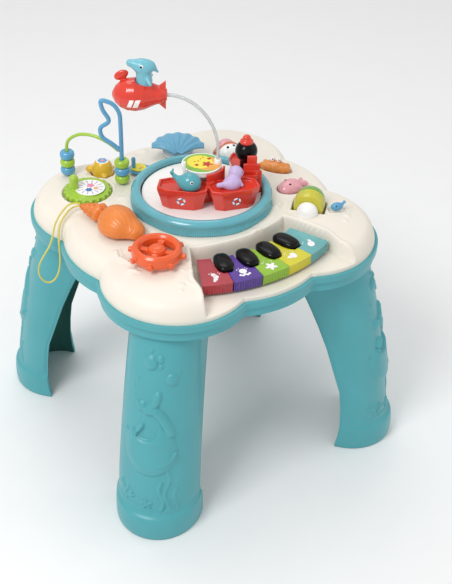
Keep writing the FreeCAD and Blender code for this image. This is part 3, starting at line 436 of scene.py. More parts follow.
def deck_z(x, y, pockets=True):
    d = np.maximum(inset(x, y), 0.0)
    z = 321.7 + 21.6 * np.sqrt(np.maximum(0, 1 - (1 - np.minimum(d, 16) / 16) ** 2)) + 14.0 * (1 - np.exp(-d / 45.0))
    r = np.hypot(x, y)
    z = z + (357.4 - z) * sstep(112, 99, r)
    # small raised sea motifs: plant by the wheel, ripples, pebbles, worm casts
    def dots(z, pts):
        for px, py, pr, ph in pts:
            z = z + 1.5 * ph * np.exp(-((x - px) ** 2 + (y - py) ** 2) / (pr * pr))
        return z
    rng = np.random.RandomState(5)
    z = dots(z, [(88 + 9 * math.cos(a), -4 + 34 * math.sin(a), 2.6, 1.1) for a in np.linspace(-1.4, 1.0, 9)])
    z = dots(z, [(78, -68, 4.5, 1.5), (86, -64, 3.4, 1.2), (18, -103, 4.5, 1.5), (26, -101, 3.0, 1.0), (-90, 62, 5.0, 1.3),
                 (-30, 150, 6.0, 1.5), (4, 168, 7.5, 2.2), (-16, 162, 5.0, 1.3), (150, -128, 4.0, 1.2), (140, -137, 3.0, 1.0), (158, -120, 2.6, 0.9)])
    for cx, cy, ln, an in ((-153, -78, 22, 100), (-160, -60, 18, 70), (-152, -100, 16, 130)):
        a = math.radians(an)
        q = seg(x, y, cx, cy, cx + ln * math.cos(a), cy + ln * math.sin(a))
        z = z + 1.4 * np.exp(-(q / 2.2) ** 2)
        for k in range(3):
            bx, by = cx + ln * (0.3 + 0.25 * k) * math.cos(a), cy + ln * (0.3 + 0.25 * k) * math.sin(a)
            for sg in (-1, 1):
                q = seg(x, y, bx, by, bx + 7 * math.cos(a + sg * 0.9), by + 7 * math.sin(a + sg * 0.9))
                z = z + 1.0 * np.exp(-(q / 1.7) ** 2)
    for k, (cx, cy) in enumerate(((-108, -140), (-96, -146), (-84, -143), (-72, -150))):
        yy = y - cy
        wob = cx + 3.6 * np.sin(yy / 5.0 + k)
        z = z + 1.5 * np.exp(-((x - wob) / 2.4) ** 2) * sstep(20, 14, np.abs(yy))
    z = dots(z, [(-120, -150, 3.0, 1.3), (-126, -158, 2.2, 1.0), (-62, -166, 2.6, 1.1)])
    if not pockets:
        return z
    # key bay, open to the front rim, with a raised lip round it
    kx, ky = x, 50.0 - y
    kr, ka = np.hypot(kx, ky), np.degrees(np.arctan2(kx, ky))
    front = sstep(150, 156, kr)
    half = 27.2 - 2.2 * sstep(215, 245, kr)
    din = np.minimum((half - np.abs(ka)) * kr * math.pi / 180, kr - 158.0)
    lip = np.exp(-((din + 4.0) / 3.0) ** 2) * front * sstep(3, 16, np.maximum(d, 0))
    z = z + 1.6 * lip
    w = sstep(-1.2, 1.4, din)
    floor_ = np.minimum(z, 327.5 + 0.0 * x)
    z = z * (1 - w) + floor_ * w
    for cx, cy, rr, zf in ((*GEAR, 34.4, 346.2), (*MONKEY, 20.9, 346.2), (*TURTLE, 15.5, 346.2)):
        q = rr - np.hypot(x - cx, y - cy)
        w = sstep(-0.9, 0.9, q)
        z = z + 0.9 * np.exp(-((q + 3.0) / 1.8) ** 2)
        z = z * (1 - w) + zf * w
    for (cx, cy), a, b, rot in ((CRAB, 24.4, 14.9, -52.0), (FISH, 23.9, 14.9, 5.0)):
        t = math.radians(rot)
        u, v = (x - cx) * math.cos(t) + (y - cy) * math.sin(t), -(x - cx) * math.sin(t) + (y - cy) * math.cos(t)
        q = (1 - np.sqrt((u / a) ** 2 + (v / b) ** 2)) * min(a, b)
        w = sstep(-0.9, 0.9, q)
        z = z + 0.9 * np.exp(-((q + 2.6) / 1.6) ** 2)
        z = z * (1 - w) + 346.2 * w
    for (cx, cy), a, b, rot, zf in ((ROLL, 16.0, 21.8, 45.0, 336.2), (SWITCH, 11.9, 5.8, -18.0, 349.2)):
        t = math.radians(rot)
        u, v = (x - cx) * math.cos(t) + (y - cy) * math.sin(t), -(x - cx) * math.sin(t) + (y - cy) * math.cos(t)
        q = np.minimum(a - np.abs(u), b - np.abs(v))
        w = sstep(-0.9, 0.9, q)
        z = z + 0.8 * np.exp(-((q + 2.4) / 1.5) ** 2)
        z = z * (1 - w) + zf * w
    return z


def rim(th):
    lo_, hi_ = np.zeros_like(th), np.full_like(th, 300.0)
    for _ in range(40):
        m = (lo_ + hi_) / 2
        ins = inset(m * np.cos(th), m * np.sin(th)) > 0
        lo_, hi_ = np.where(ins, m, lo_), np.where(ins, hi_, m)
    k = np.ones(9) / 9
    return np.convolve(np.concatenate([lo_[-4:], lo_, lo_[:4]]), k, "valid")


NT, NR = 900, 250
th = np.arange(NT) * 2 * math.pi / NT
R = rim(th)
t = np.linspace(0, 1, NR + 1)[1:]
t = 1 - (1 - t) ** 1.25
TT, RR = np.meshgrid(t, R, indexing="ij")
X, Y = TT * RR * np.cos(th), TT * RR * np.sin(th)
Z = deck_z(X, Y)
top = np.stack([X, Y, Z], 2).reshape(-1, 3)
rings = [top]
for s_, z_ in ((1.0, 320.0), (0.999, 318.2), (0.984, 318.2), (0.98, 322.0)):
    rings.append(np.stack([s_ * R * np.cos(th), s_ * R * np.sin(th), np.full(NT, z_)], 1))
for s_ in (0.96, 0.9, 0.75, 0.5, 0.25):
    xx, yy = s_ * R * np.cos(th), s_ * R * np.sin(th)
    rings.append(np.stack([xx, yy, np.full(NT, 322.5)], 1))
V_ = np.concatenate(rings + [np.array([[0, 0, 357.4], [0, 0, 322.5]])])
nr = (len(V_) - 2) // NT
i, k = np.meshgrid(np.arange(nr - 1), np.arange(NT), indexing="ij")
k1 = (k + 1) % NT
F = np.stack([i * NT + k, (i + 1) * NT + k, (i + 1) * NT + k1, i * NT + k1], 2).reshape(-1, 4).tolist()
F += [(nr * NT, q, (q + 1) % NT) for q in range(NT)]
F += [(nr * NT + 1, (nr - 1) * NT + (q + 1) % NT, (nr - 1) * NT + q) for q in range(NT)]
add("deck_shell", V_, F, "cream", "root", True, ("top_deck",))

# roller bearing cheeks stand on the deck
c45 = math.sqrt(0.5)
for s_ in (-18.3, 18.3):
    cx, cy = ROLL[0] + s_ * c45, ROLL[1] + s_ * c45
    nets("roller_cheek_%s" % ("front" if s_ < 0 else "back"), lambda a, b, c, cx=cx, cy=cy: U(E(a, b, c, (cx, cy, 358.3), (2.1, 5.4, 5.4), 45.0), E(a, b, c, (cx, cy, 352.0), (2.1, 5.6, 8.0), 45.0), 1.0),
         (cx - 9, cy - 9, 343), (cx + 9, cy + 9, 366), 0.6, "cream", "root")

# ---------------------------------------------------------------- legs
LEG = np.array([(0, 219.5, 295, 59.2), (14, 222, 296, 59.2), (31, 223.5, 293.5, 58.6), (36, 223.6, 289.5, 57), (40, 223.6, 284.5, 55.5), (70, 221.8, 281, 55.2),
                (100, 217.8, 276.5, 54.5), (133, 206.5, 271, 53.2), (173, 193, 263, 51.5), (208, 178.5, 255.5, 50), (238, 164.5, 248.5, 48.5),
                (268, 149, 240.5, 47), (299, 131, 231, 45.5)], float)


def relief(t, z):
    """Raised sea picture on the outer face; t runs -1..1 across, z in mm."""
    y = t * 72.0
    h = np.zeros_like(y)

    def dome(cx, cz, r, a):
        q = np.sqrt((y - cx * 72) ** 2 + (z - cz) ** 2)
        return a * np.sqrt(np.maximum(0, 1 - (q / r) ** 2))

    def line(pts, r, a):
        m = np.zeros_like(y)
        for (a0, b0), (a1, b1) in zip(pts[:-1], pts[1:]):
            m = np.maximum(m, a * np.sqrt(np.maximum(0, 1 - (seg(y, z, a0 * 72, b0, a1 * 72, b1) / r) ** 2)))
        return m
    for q in ((-0.09, 264, 9.2, 3.4), (0.08, 270, 4.6, 2.0), (-0.09, 280, 3.2, 1.4), (0.09, 260, 3.4, 1.5), (0.30, 243, 8.2, 3.2), (0.42, 249, 2.8, 1.2),
              (-0.30, 238, 2.2, 1.2), (-0.38, 226, 1.8, 1.0), (-0.35, 213, 1.8, 1.0), (0.43, 92, 1.6, 0.8), (0.36, 87, 1.4, 0.7)):
        h = np.maximum(h, dome(*q))
    # whale: crescent body round an open curl, tail stalk and two flukes
    yy, zz = y + 3.0, z - 140.0
    out = 1 - np.sqrt((yy / 33.0) ** 2 + (zz / 38.0) ** 2)
    curl = 1 - np.sqrt(((y + 9.0) / 17.0) ** 2 + ((z - 176.0) / 20.0) ** 2)
    body = np.clip(out * 3.2, 0, 1)
    cut_ = np.clip(-curl * 6.0 + 0.05, 0, 1) * np.where((y < -9) & (z > 172), np.clip((186 - z) / 8.0, 0, 1), 1)
    h = np.maximum(h, 4.4 * np.sqrt(body) * np.sqrt(cut_))
    h = np.maximum(h, line([(-0.10, 199), (0.03, 200), (0.13, 193), (0.22, 183), (0.30, 168)], 6.0, 4.0))
    h = np.maximum(h, dome(-0.21, 203, 7.4, 3.6))
    h = np.maximum(h, line([(-0.05, 204), (0.03, 210), (0.07, 222)], 5.0, 3.6))
    h = np.maximum(h, line([(-0.24, 168), (-0.18, 176)], 3.4, 4.6))
    h = np.maximum(h, line([(0.08, 121), (0.20, 123), (0.32, 130), (0.39, 139)], 2.4, 5.2))
    h = np.maximum(h, dome(-0.27, 162, 2.4, 5.2))
    # fern, coral, weed, star, sand line
    for p in ([(-0.33, 133), (-0.37, 146), (-0.42, 158)], [(-0.36, 142), (-0.30, 150)], [(-0.37, 146), (-0.47, 150)], [(-0.39, 152), (-0.33, 160)], [(-0.40, 154), (-0.50, 159)],
              [(-0.42, 48), (-0.47, 62), (-0.55, 76)], [(-0.46, 60), (-0.38, 72)], [(-0.50, 66), (-0.62, 68)], [(-0.43, 54), (-0.33, 60)], [(-0.34, 58), (-0.27, 63)], [(-0.34, 58), (-0.32, 68)]):
        h = np.maximum(h, line(p, 1.9, 1.7))
    for x0, z0, z1, ph in ((0.18, 46, 92, 0.0), (0.27, 48, 115, 1.2), (0.42, 45, 80, 2.0)):
        zz = np.clip(z, z0, z1)
        c = (x0 + 0.035 * np.sin(zz / 7.5 + ph)) * 72
        q = np.hypot(y - c, z - zz)
        h = np.maximum(h, 1.9 * np.sqrt(np.maximum(0, 1 - (q / 2.4) ** 2)))
    for k in range(5):
        a = math.radians(90 + 72 * k + 8)
        h = np.maximum(h, line([(-0.05, 56), (-0.05 + 6.2 * math.cos(a) / 72, 56 + 6.2 * math.sin(a))], 1.9, 1.8))
    sand = np.interp(t, [-1, -0.6, -0.29, 0.09, 0.31, 0.49, 1], [40, 49, 50, 41, 49, 43, 44])
    h = np.maximum(h, 1.5 * sstep(1.4, -0.6, z - sand) * sstep(37.5, 39.5, z))
    return 1.3 * h * sstep(0.97, 0.86, np.abs(t))


def leg(name, angle, node):
    NZ, NU = 300, 150
    zs = np.concatenate([np.linspace(0.2, 42, 46), np.linspace(43, 298.9, NZ)])
    col = [np.interp(zs, LEG[:, 0], LEG[:, k]) for k in (1, 2, 3)]
    # soft foot band instead of straight facets
    rc, ro, w = col
    foot = sstep(41.0, 35.5, zs)
    base_w, base_ro = np.interp(zs, [0, 40, 70], [55.6, 55.5, 55.2]), np.interp(zs, [0, 40, 70], [285.5, 284.5, 281])
    w = base_w * (zs < 70) + w * (zs >= 70)
    ro = base_ro * (zs < 70) + ro * (zs >= 70)
    bulge = 9.8 * foot * np.sqrt(np.clip(1 - ((zs - 17) / 24.0) ** 2, 0.0, 1)) ** 0.5
    tt = np.linspace(-1, 1, NU)
    rows_o, rows_i = [], []
    for j, z in enumerate(zs):
        s = min(w[j] * 0.98, ro[j] - rc[j] - 6.0)
        ra = ro[j] - s
        Rr = (s * s + w[j] * w[j]) / (2 * s)
        cx = ro[j] - Rr
        am = math.atan2(w[j], ra - cx)
        ang = tt * am
        ln_s, ln_a = ra - rc[j], Rr * am
        px, py = cx + Rr * np.cos(ang), Rr * np.sin(ang)
        nx, ny = np.cos(ang), np.sin(ang)
        h = relief(tt, np.full(NU, z))
        bump = h + bulge[j]
        ox, oy = px + nx * bump, py + ny * bump * 0.36 + 0 * py
        hw = 59.0 if z < 41 else w[j]
        ox, oy = np.minimum(ox, 295.8), np.clip(oy, -max(hw, w[j]), max(hw, w[j]))
        e = np.linspace(0, 1, 14)[:-1]
        yb = oy[0]
        sx = rc[j] + (ox[0] - rc[j]) * e
        # rolled flange along the open edges
        fl = 1.8 * np.exp(-((sx - rc[j] - 2.0) / 2.2) ** 2) * (z > 44)
        oxx = np.concatenate([sx, ox, sx[::-1]])
        oyy = np.concatenate([yb - 0 * e + fl * 0.6, oy, oy[-1] + 0 * e - fl[::-1] * 0.6])
        ix = np.concatenate([sx, px - 3.0 * nx, sx[::-1]])
        iy = np.concatenate([np.full(13, -(w[j] - 3.0)), py - 3.0 * ny, np.full(13, w[j] - 3.0)])
        iy = np.clip(iy, -(w[j] - 3.0), w[j] - 3.0)
        rows_o.append(np.stack([oxx, oyy, np.full(len(oxx), z)], 1))
        rows_i.append(np.stack([ix, iy, np.full(len(ix), z)], 1))
    O, I = np.array(rows_o), np.array(rows_i)
    nz, nu = O.shape[:2]
    a = math.radians(angle)
    rot = np.array([[math.cos(a), -math.sin(a), 0], [math.sin(a), math.cos(a), 0], [0, 0, 1]])
    V_ = np.concatenate([O.reshape(-1, 3), I.reshape(-1, 3)]) @ rot.T
    N = nz * nu
    j, k = np.meshgrid(np.arange(nz - 1), np.arange(nu - 1), indexing="ij")
    q = np.stack([j * nu + k, j * nu + k + 1, (j + 1) * nu + k + 1, (j + 1) * nu + k], 2).reshape(-1, 4)
    F = [q, q[:, ::-1] + N]
    jj, kk = np.arange(nz - 1), np.arange(nu - 1)
    F.append(np.stack([jj * nu, (jj + 1) * nu, (jj + 1) * nu + N, jj * nu + N], 1))
    F.append(np.stack([jj * nu + nu - 1, jj * nu + nu - 1 + N, (jj + 1) * nu + nu - 1 + N, (jj + 1) * nu + nu - 1], 1))
    F.append(np.stack([kk, kk + N, kk + 1 + N, kk + 1], 1))
    b = (nz - 1) * nu
    F.append(np.stack([b + kk, b + kk + 1, b + kk + 1 + N, b + kk + N], 1))
    F = np.concatenate(F)
    o = add(name, V_, F, "teal", "root", True, (node,))
    # inner faces get the darker teal copy, painted shade inside the hollow leg
    o.data.materials.append(MAT["teal_painted_shade_in"])
    mi = np.zeros(len(F), int)
    mi[len(q):2 * len(q)] = 1
    o.data.polygons.foreach_set("material_index", mi.tolist())
    o.data.update()
    return o


for nm, an in (("leg_back_right", 45), ("leg_back_left", 135), ("leg_front_left", 225), ("leg_front_right", 315)):
    leg(nm + "_shell", an, nm)

# tray: lip and lower band with rounded edges, outside the deck edge
def offs(o):
    k = (R + o)
    return k * np.cos(th), k * np.sin(th)


prof = [(-14, 299.1), (-3, 299.1), (-0.6, 299.6), (0.6, 301.0), (0.95, 303.5), (0.95, 310.5), (0.7, 312.6), (1.2, 313.8), (3.6, 314.2), (4.35, 315.4), (4.45, 318.0), (4.3, 320.4),
        (3.4, 321.5), (1.6, 321.6), (0.4, 320.6), (0.4, 318.0), (-3, 318.0), (-3, 303.0), (-14, 303.0)]
rings = []
for o_, z_ in prof:
    x_, y_ = offs(o_)
    rings.append(np.stack([x_, y_, np.full(NT, z_)], 1))
V_ = np.concatenate(rings)
m = len(prof)
F = []
for i_ in range(m):
    i2 = (i_ + 1) % m
    for q in range(NT):
        F.append((i_ * NT + q, i_ * NT + (q + 1) % NT, i2 * NT + (q + 1) % NT, i2 * NT + q))
add("tray_rim", V_, F, "teal", "root")

# ---------------------------------------------------------------- ring
def ribs(r, z, a):
    if z < 369.5 and r > 90:
        w = min(1.0, (368.5 - z) / 2.0)
        lobes = 1.3 * np.cos(a * 8 + 0.6) * (1 if z < 366 else 0.4)
        return r - 1.2 - 0.75 * w * (0.5 + 0.5 * np.cos(a * 220)) + lobes * 0.6
    return np.full(len(a), r)


lathe("ring_ribbed", [(82.2, 357.6), (97.0, 357.6), (97.8, 358.6), (97.4, 361), (96.6, 364), (96.0, 366.5), (95.6, 368.2), (95.9, 369.4), (95.2, 371.6), (93.6, 374.2), (91.2, 376.3),
                      (88.4, 377.5), (86.0, 377.6), (84.0, 377.0), (82.6, 375.6), (82.1, 373.0), (82.2, 357.6)], "ring", "root", n=1760, rmod=ribs, replaces=("light_ring",))

# ---------------------------------------------------------------- softened CAD mouldings
soften("turntable", "white", "carousel", 0.9, 3)
soften("boat_carousel", "red", "carousel", 0.65, 5)
soften("ships_wheel", "orange_red", "wheel", 0.6, 7)
soften("gear_dial", "lime", "gear", 0.6, 4)
soften("column_cap", "white", "flyer", 0.6, 3)
soften("centre_column", "white", "flyer", 0.6, 4)
soften("plane_body", "red", "flyer", 0.6, 6)
soften("beads_left_blue", "blue", "beads_left", 0.5, 3)
soften("beads_left_green", "lime", "beads_left", 0.5, 3)
soften("beads_right_blue", "blue", "beads_right", 0.5, 3)
soften("beads_right_green", "lime", "beads_right", 0.5, 3)
def pad(x, y, z, a_deg):
    """Rounded oval pad on a black key's footprint."""
    a = math.radians(a_deg)
    cx, cy = 186.6 * math.sin(a), 50 - 186.6 * math.cos(a)
    u_, v_ = (x - cx) * math.cos(a) + (y - cy) * math.sin(a), -(x - cx) * math.sin(a) + (y - cy) * math.cos(a)
    k_ = np.sqrt((np.abs(u_) / 11.4) ** 2.6 + (np.abs(v_) / 19.0) ** 2.6 + 1e-9) ** (2 / 2.6)
    q_ = (k_ - 1) * 10.5
    h_ = z - (352.6 - 1.6 * np.clip(k_, 0, 1.2) ** 2)
    e0, e1 = q_ + 3.2, np.maximum(h_, 341.2 - z) + 3.2
    return np.minimum(np.maximum(e0, e1), 0) + np.hypot(np.maximum(e0, 0), np.maximum(e1, 0)) - 3.2


for k in range(1, 5):
    ad = (k - 2.5) * 10.0
    cx, cy = 186.6 * math.sin(math.radians(ad)), 50 - 186.6 * math.cos(math.radians(ad))
    nets("black_pad_%d" % k, lambda x, y, z, ad=ad: pad(x, y, z, ad), (cx - 20, cy - 22, 340), (cx + 20, cy + 22, 354), 0.7, "black", "black_body_%d" % k, ("black_key_%d" % k,))


def key_ribs(co):
    x, y = co[:, 0], 50.0 - co[:, 1]
    r, a = np.hypot(x, y), np.degrees(np.arctan2(x, y))
    front = sstep(226.5, 228.3, r) * sstep(345.0, 343.2, co[:, 2])
    dr = -1.4 * front * (0.5 + 0.5 * np.cos(a * 2 * math.pi / 0.84))
    k = (r + dr) / r
    out = co.copy()
    out[:, 0], out[:, 1] = x * k, 50.0 - y * k
    return out


for nm in ("red", "purple", "green", "yellow", "teal"):
    soften("key_" + nm, "k_" + nm, "key_body_" + nm, 0.5, 3, move=key_ribs)

# ---------------------------------------------------------------- bead wires and arm
BU = (math.cos(math.radians(147)), math.sin(math.radians(147)))


def bp(s, z):
    return (-69.0 + s * BU[0], 96.0 + s * BU[1], z)


curve_tube("bead_wire_lime", rounded([(-121, 161, 346), (-121, 161, 405), (-109, 145.5, 420), (-93.5, 126, 421.5), (-80, 109.5, 413.5), (-71.5, 99.2, 404)]), 2.3, "lime", "root", ("bead_wire_green",))
curve_tube("bead_wire_sky", rounded([bp(0, 346), bp(0, 430), bp(0.6, 462), bp(9, 476), bp(27, 482), bp(24, 466), bp(13, 449.5), bp(29, 440), bp(26.5, 425.5), bp(12, 415.5), bp(1.6, 406)]),
           3.0, "blue", "root", ("bead_wire_blue",))


def ap(s, z, t_=0.0):
    return (s * BU[0] - t_ * BU[1], s * BU[1] + t_ * BU[0], z)


R1, R2 = 85.0, 58.6
zs0 = 511.0 - R2 * (1 - math.sin(math.radians(50))) - R1 * math.sin(math.radians(50))
corner1 = ap(-21 + R1 * math.tan(math.radians(25)) * 0.0, zs0 + R1 * math.tan(math.radians(25)))
x1, z1 = -21 + R1 * (1 - math.cos(math.radians(50))), zs0 + R1 * math.sin(math.radians(50))
k2 = R2 * math.tan(math.radians(20))
corner2 = (x1 + k2 * math.sin(math.radians(50)) * 1.0, 511.0)
for sgn, nm in ((-1.1, "left"), (1.1, "right")):
    arm_pts = [ap(-21, 411.5, sgn), ap(-21, zs0 - 12, sgn)]
    arm_pts += [ap(-21 + R1 * (1 - math.cos(math.radians(q))), zs0 + R1 * math.sin(math.radians(q)), sgn) for q in range(0, 50, 5)]
    arm_pts += [ap(x1 + R2 * (math.cos(math.radians(50)) - math.cos(math.radians(q))), z1 + R2 * (math.sin(math.radians(q)) - math.sin(math.radians(50))), sgn) for q in range(50, 91, 5)]
    arm_pts += [ap(54, 511, sgn)]
    curve_tube("arm_tube_" + nm, arm_pts, 2.0, "clear", "flyer", ("arc_arm",) if sgn < 0 else (), res=24)
lathe("arm_socket", [(0.1, 412.9), (5.2, 412.9), (5.4, 414.2), (4.6, 417.5), (4.3, 420.0), (0.1, 420.4)], "white", "flyer", (*ap(-21, 0)[:2], 0), n=36)

# ---------------------------------------------------------------- passengers
nets("whale_toy", lambda x, y, z: np.maximum(U(U(U(E(x, y, z, (-33.8, -25, 406), (15, 12.8, 13.4), -40), C(x, y, z, (-41, -17, 405), (-47.5, -10, 411.5), 6.0, 3.0), 5.0),
     C(x, y, z, (-47.5, -10, 411.5), (-50.8, -6.5, 417.0), 2.4, 1.6), 2.5), U(C(x, y, z, (-50, -7, 416.0), (-53.6, -9.5, 418.5), 1.9, 1.2), C(x, y, z, (-50, -7, 416.0), (-46.5, -3.5, 418.8), 1.9, 1.2), 1.5), 2.0), 396.5 - z),
     (-58, -42, 388), (-16, 2, 423), 0.7, "whale", "carousel", ("whale_figure",))
soften("whale_sail", "white", "carousel", 0.45, 5)
nets("seal_toy", lambda x, y, z: np.maximum(U(U(U(E(x, y, z, (17, -48, 401), (12.0, 11.0, 11.0)), E(x, y, z, (26, -42.5, 411.5), (9.5, 9.4, 9.5)), 3.0), C(x, y, z, (9, -47.5, 401), (-2.5, -46, 402.5), 4.6, 3.2), 4.0),
     U(C(x, y, z, (24, -52, 404), (27, -56, 399), 3.4, 2.4), E(x, y, z, (33, -43, 409.6), (4.2, 4.6, 3.2)), 1.0), 2.0), 396.5 - z), (-8, -62, 384), (40, -30, 423), 0.7, "lilac", "carousel", ("seal_figure",))
lathe("penguin_ball", [(0.1, 396.6), (7.6, 396.6), (8.0, 397.4), (8.0, 400), (8.4, 407.5)] + [(15 * math.sin(a), 420 - 15 * math.cos(a)) for a in np.linspace(0.62, 3.13, 26)], "black", "carousel", (62, -13, 0), n=56, replaces=("penguin_figure",))
nets("penguin_hat", lambda x, y, z: U(E(x, y, z, (62, -13, 433.6), (9.2, 9.2, 5.6)), E(x, y, z, (62, -13, 439.0), (5.6, 5.6, 4.7)), 1.5), (50, -25, 426), (74, -1, 445), 0.6, "red", "carousel", ("penguin_cap",))


def eyes(name, c, r, body, ax, gap, look=None, white=True, wr=1.7):
    """Two domed eyes either side of c along gap."""
    for s_ in (-1, 1):
        p = np.array(c, float) + s_ * np.array(gap, float)
        if white:
            ball("%s_white_%d" % (name, s_ + 1), p, r * wr, "eye_white", body, ax, 0.6)
            p2 = p + np.array(ax, float) / np.linalg.norm(ax) * r * wr * 0.45
        else:
            p2 = p
        ball("%s_pupil_%d" % (name, s_ + 1), p2, r, "black", body, ax, 0.7)


camdir = np.array(back)
face = np.array((-0.30, -0.86, 0.42)); face /= np.linalg.norm(face)
rw = 5.0
while float(E(*[np.array([q]) for q in (np.array((-33.8, -25.0, 406.0)) + face * rw)], (-33.8, -25, 406), (15, 12.8, 13.4), -40)[0]) < -0.05:
    rw += 0.1
pe = np.array((-33.8, -25.0, 406.0)) + face * rw
ball("whale_eye_w", tuple(pe), 2.2, "eye_white", "carousel", tuple(face), 0.5)
ball("whale_eye_b", tuple(pe + face * 0.8), 1.4, "black", "carousel", tuple(face), 0.5)
ball("seal_eye", (30.5, -50.0, 413.6), 1.1, "black", "carousel", (0.3, -1, 0.1), 0.7)


def life_ring(name, c, out, body):
    """Ring buoy on a hull side: four white and four coloured quarters."""
    c, w = np.array(c, float), np.array(out, float)
    w /= np.linalg.norm(w)
    u_ = np.cross((0, 0, 1), w); u_ /= np.linalg.norm(u_)
    v_ = np.cross(w, u_)
    for k in range(4):
        for col, a0, a1 in (("eye_white", -8, 52), ("print_blue", 52, 82)):
            V1, n_ = [], 9
            aa = np.radians(np.linspace(a0, a1, n_) + 90 * k)
            sec = [(3.2, 0.0), (3.4, 0.9), (4.6, 1.3), (5.8, 0.9), (6.0, 0.0)]
            for a in aa:
                for r_, h_ in sec:
                    V1.append(c + u_ * r_ * math.cos(a) + v_ * r_ * math.sin(a) + w * h_)
            F1 = []
            m_ = len(sec)
            for i_ in range(n_ - 1):
                for j_ in range(m_):
                    j2 = (j_ + 1) % m_
                    F1.append((i_ * m_ + j_, (i_ + 1) * m_ + j_, (i_ + 1) * m_ + j2, i_ * m_ + j2))
            F1.append(tuple(range(m_))); F1.append(tuple((n_ - 1) * m_ + q for q in range(m_ - 1, -1, -1)))
            add("%s_%s_%d" % (name, col, k), V1, F1, col, body)


for nm, (bx, by, fa) in (("ring_a", (-39.3, -17.0, 230)), ("ring_b", (17.4, -51.0, 254)), ("ring_c", (60.0, -12.0, 338))):
    a = math.radians(fa)
    life_ring(nm, (bx + 14.6 * math.cos(a), by + 14.6 * math.sin(a), 383.5), (math.cos(a), math.sin(a), -0.12), "carousel")

# shark pilot and the plane's details
hs = lambda s, z, t_=0.0: ap(s, z, t_)
nets("shark_toy", lambda x, y, z: U(U(U(U(C(x, y, z, hs(74.5, 530), hs(75, 545), 10.6, 9.6), E(x, y, z, hs(74, 549), (13.5, 10.5, 9.4), 147), 3.0), C(x, y, z, hs(80, 550.5), hs(92, 553.6), 8.2, 4.6), 4.0),
     C(x, y, z, hs(65, 551), hs(57.5, 542.5), 4.2, 1.5), 3.0), U(C(x, y, z, hs(70, 536, 8), hs(66, 531, 15), 3.4, 2.0), C(x, y, z, hs(70, 536, -8), hs(66, 531, -15), 3.4, 2.0), 1), 2.0),
     (-95, 12, 522), (-36, 68, 566), 0.8, "shark", "flyer", ("shark_figure",))
for s_ in (-1, 1):
    nrm = (-BU[1] * s_, BU[0] * s_, 0.15)
    ball("shark_eye_w%d" % (s_ + 1), hs(77, 552.5, 9.3 * s_), 2.3, "eye_white", "flyer", nrm, 0.6)
    ball("shark_eye_b%d" % (s_ + 1), hs(77.5, 552.5, 10.3 * s_), 1.5, "black", "flyer", nrm, 0.6)
    for q, (a0, a1, skew) in enumerate(((80.0, 86.5, 4.0), (88.5, 94.0, 4.0))):
        V1, F1, nn, mm = [], [], 8, 10
        for lay in (0.45, -0.8):
            for i_ in range(nn):
                for j_ in range(mm):
                    fj = j_ / (mm - 1)
                    ss = a0 + (a1 - a0) * i_ / (nn - 1) + skew * (0.5 - fj)
                    ph = math.radians(-26 + 30 * fj)
                    rr = float(np.interp(ss, [66, 75, 86, 96, 105], [15.5, 19.6, 21.6, 20.6, 16.8])) + lay
                    V1.append(hs(ss, 511 + rr * math.sin(ph), s_ * rr * math.cos(ph)))
        N1 = nn * mm
        for i_ in range(nn - 1):
            for j_ in range(mm - 1):
                t4 = (i_ * mm + j_, (i_ + 1) * mm + j_, (i_ + 1) * mm + j_ + 1, i_ * mm + j_ + 1)
                F1 += [t4, tuple(v_ + N1 for v_ in t4[::-1])]
        edge = [i_ * mm for i_ in range(nn)] + [(nn - 1) * mm + j_ for j_ in range(1, mm)] + [i_ * mm + mm - 1 for i_ in range(nn - 2, -1, -1)] + [j_ for j_ in range(mm - 2, 0, -1)]
        F1 += [(edge[e_], edge[e_] + N1, edge[(e_ + 1) % len(edge)] + N1, edge[(e_ + 1) % len(edge)]) for e_ in range(len(edge))]
        add("plane_window_%d_%d" % (s_ + 1, q), V1, F1, "eye_white", "flyer", False)

# ---------------------------------------------------------------- deck toys
nets("turtle_toy", lambda x, y, z: U(U(np.maximum(E(x, y, z, (*TURTLE, 357), (15.2, 15.2, 20.5)), z - 373.4),
     E(x, y, z, (-93.0, 146.0, 359.5), (7.0, 5.6, 5.4), 143), 2.0), U(E(x, y, z, (-84, 121.5, 357.6), (5.2, 4.4, 3.0), -100), E(x, y, z, (-65, 137, 357.6), (5.2, 4.2, 3.0), 0), 0.5), 1.5),
     (-104, 112, 351.2), (-56, 158, 376), 0.8, "yellow", "turtle", ("turtle_button",))


def disc(name, c, r, z, mat, body, h=0.35, n=48, lobes=0, depth=0.0, ph=0.0):
    """Flat printed patch with a slightly domed edge; lobes give it a flower or star outline."""
    aa = np.arange(n) * 2 * math.pi / n
    k = 1 - depth * (0.5 + 0.5 * np.cos(aa * lobes + ph)) if lobes else np.ones(n)
    V1 = []
    for s_, dz in ((1.0, 0.0), (1.0, h * 0.6), (0.96, h)):
        V1 += [(c[0] + r * s_ * k[q] * math.cos(aa[q]), c[1] + r * s_ * k[q] * math.sin(aa[q]), z + dz) for q in range(n)]
    F1 = [tuple(range(n - 1, -1, -1)), tuple(2 * n + q for q in range(n))]
    for i_ in range(2):
        F1 += [(i_ * n + q, i_ * n + (q + 1) % n, (i_ + 1) * n + (q + 1) % n, (i_ + 1) * n + q) for q in range(n)]
    return add(name, V1, F1, mat, body, False)


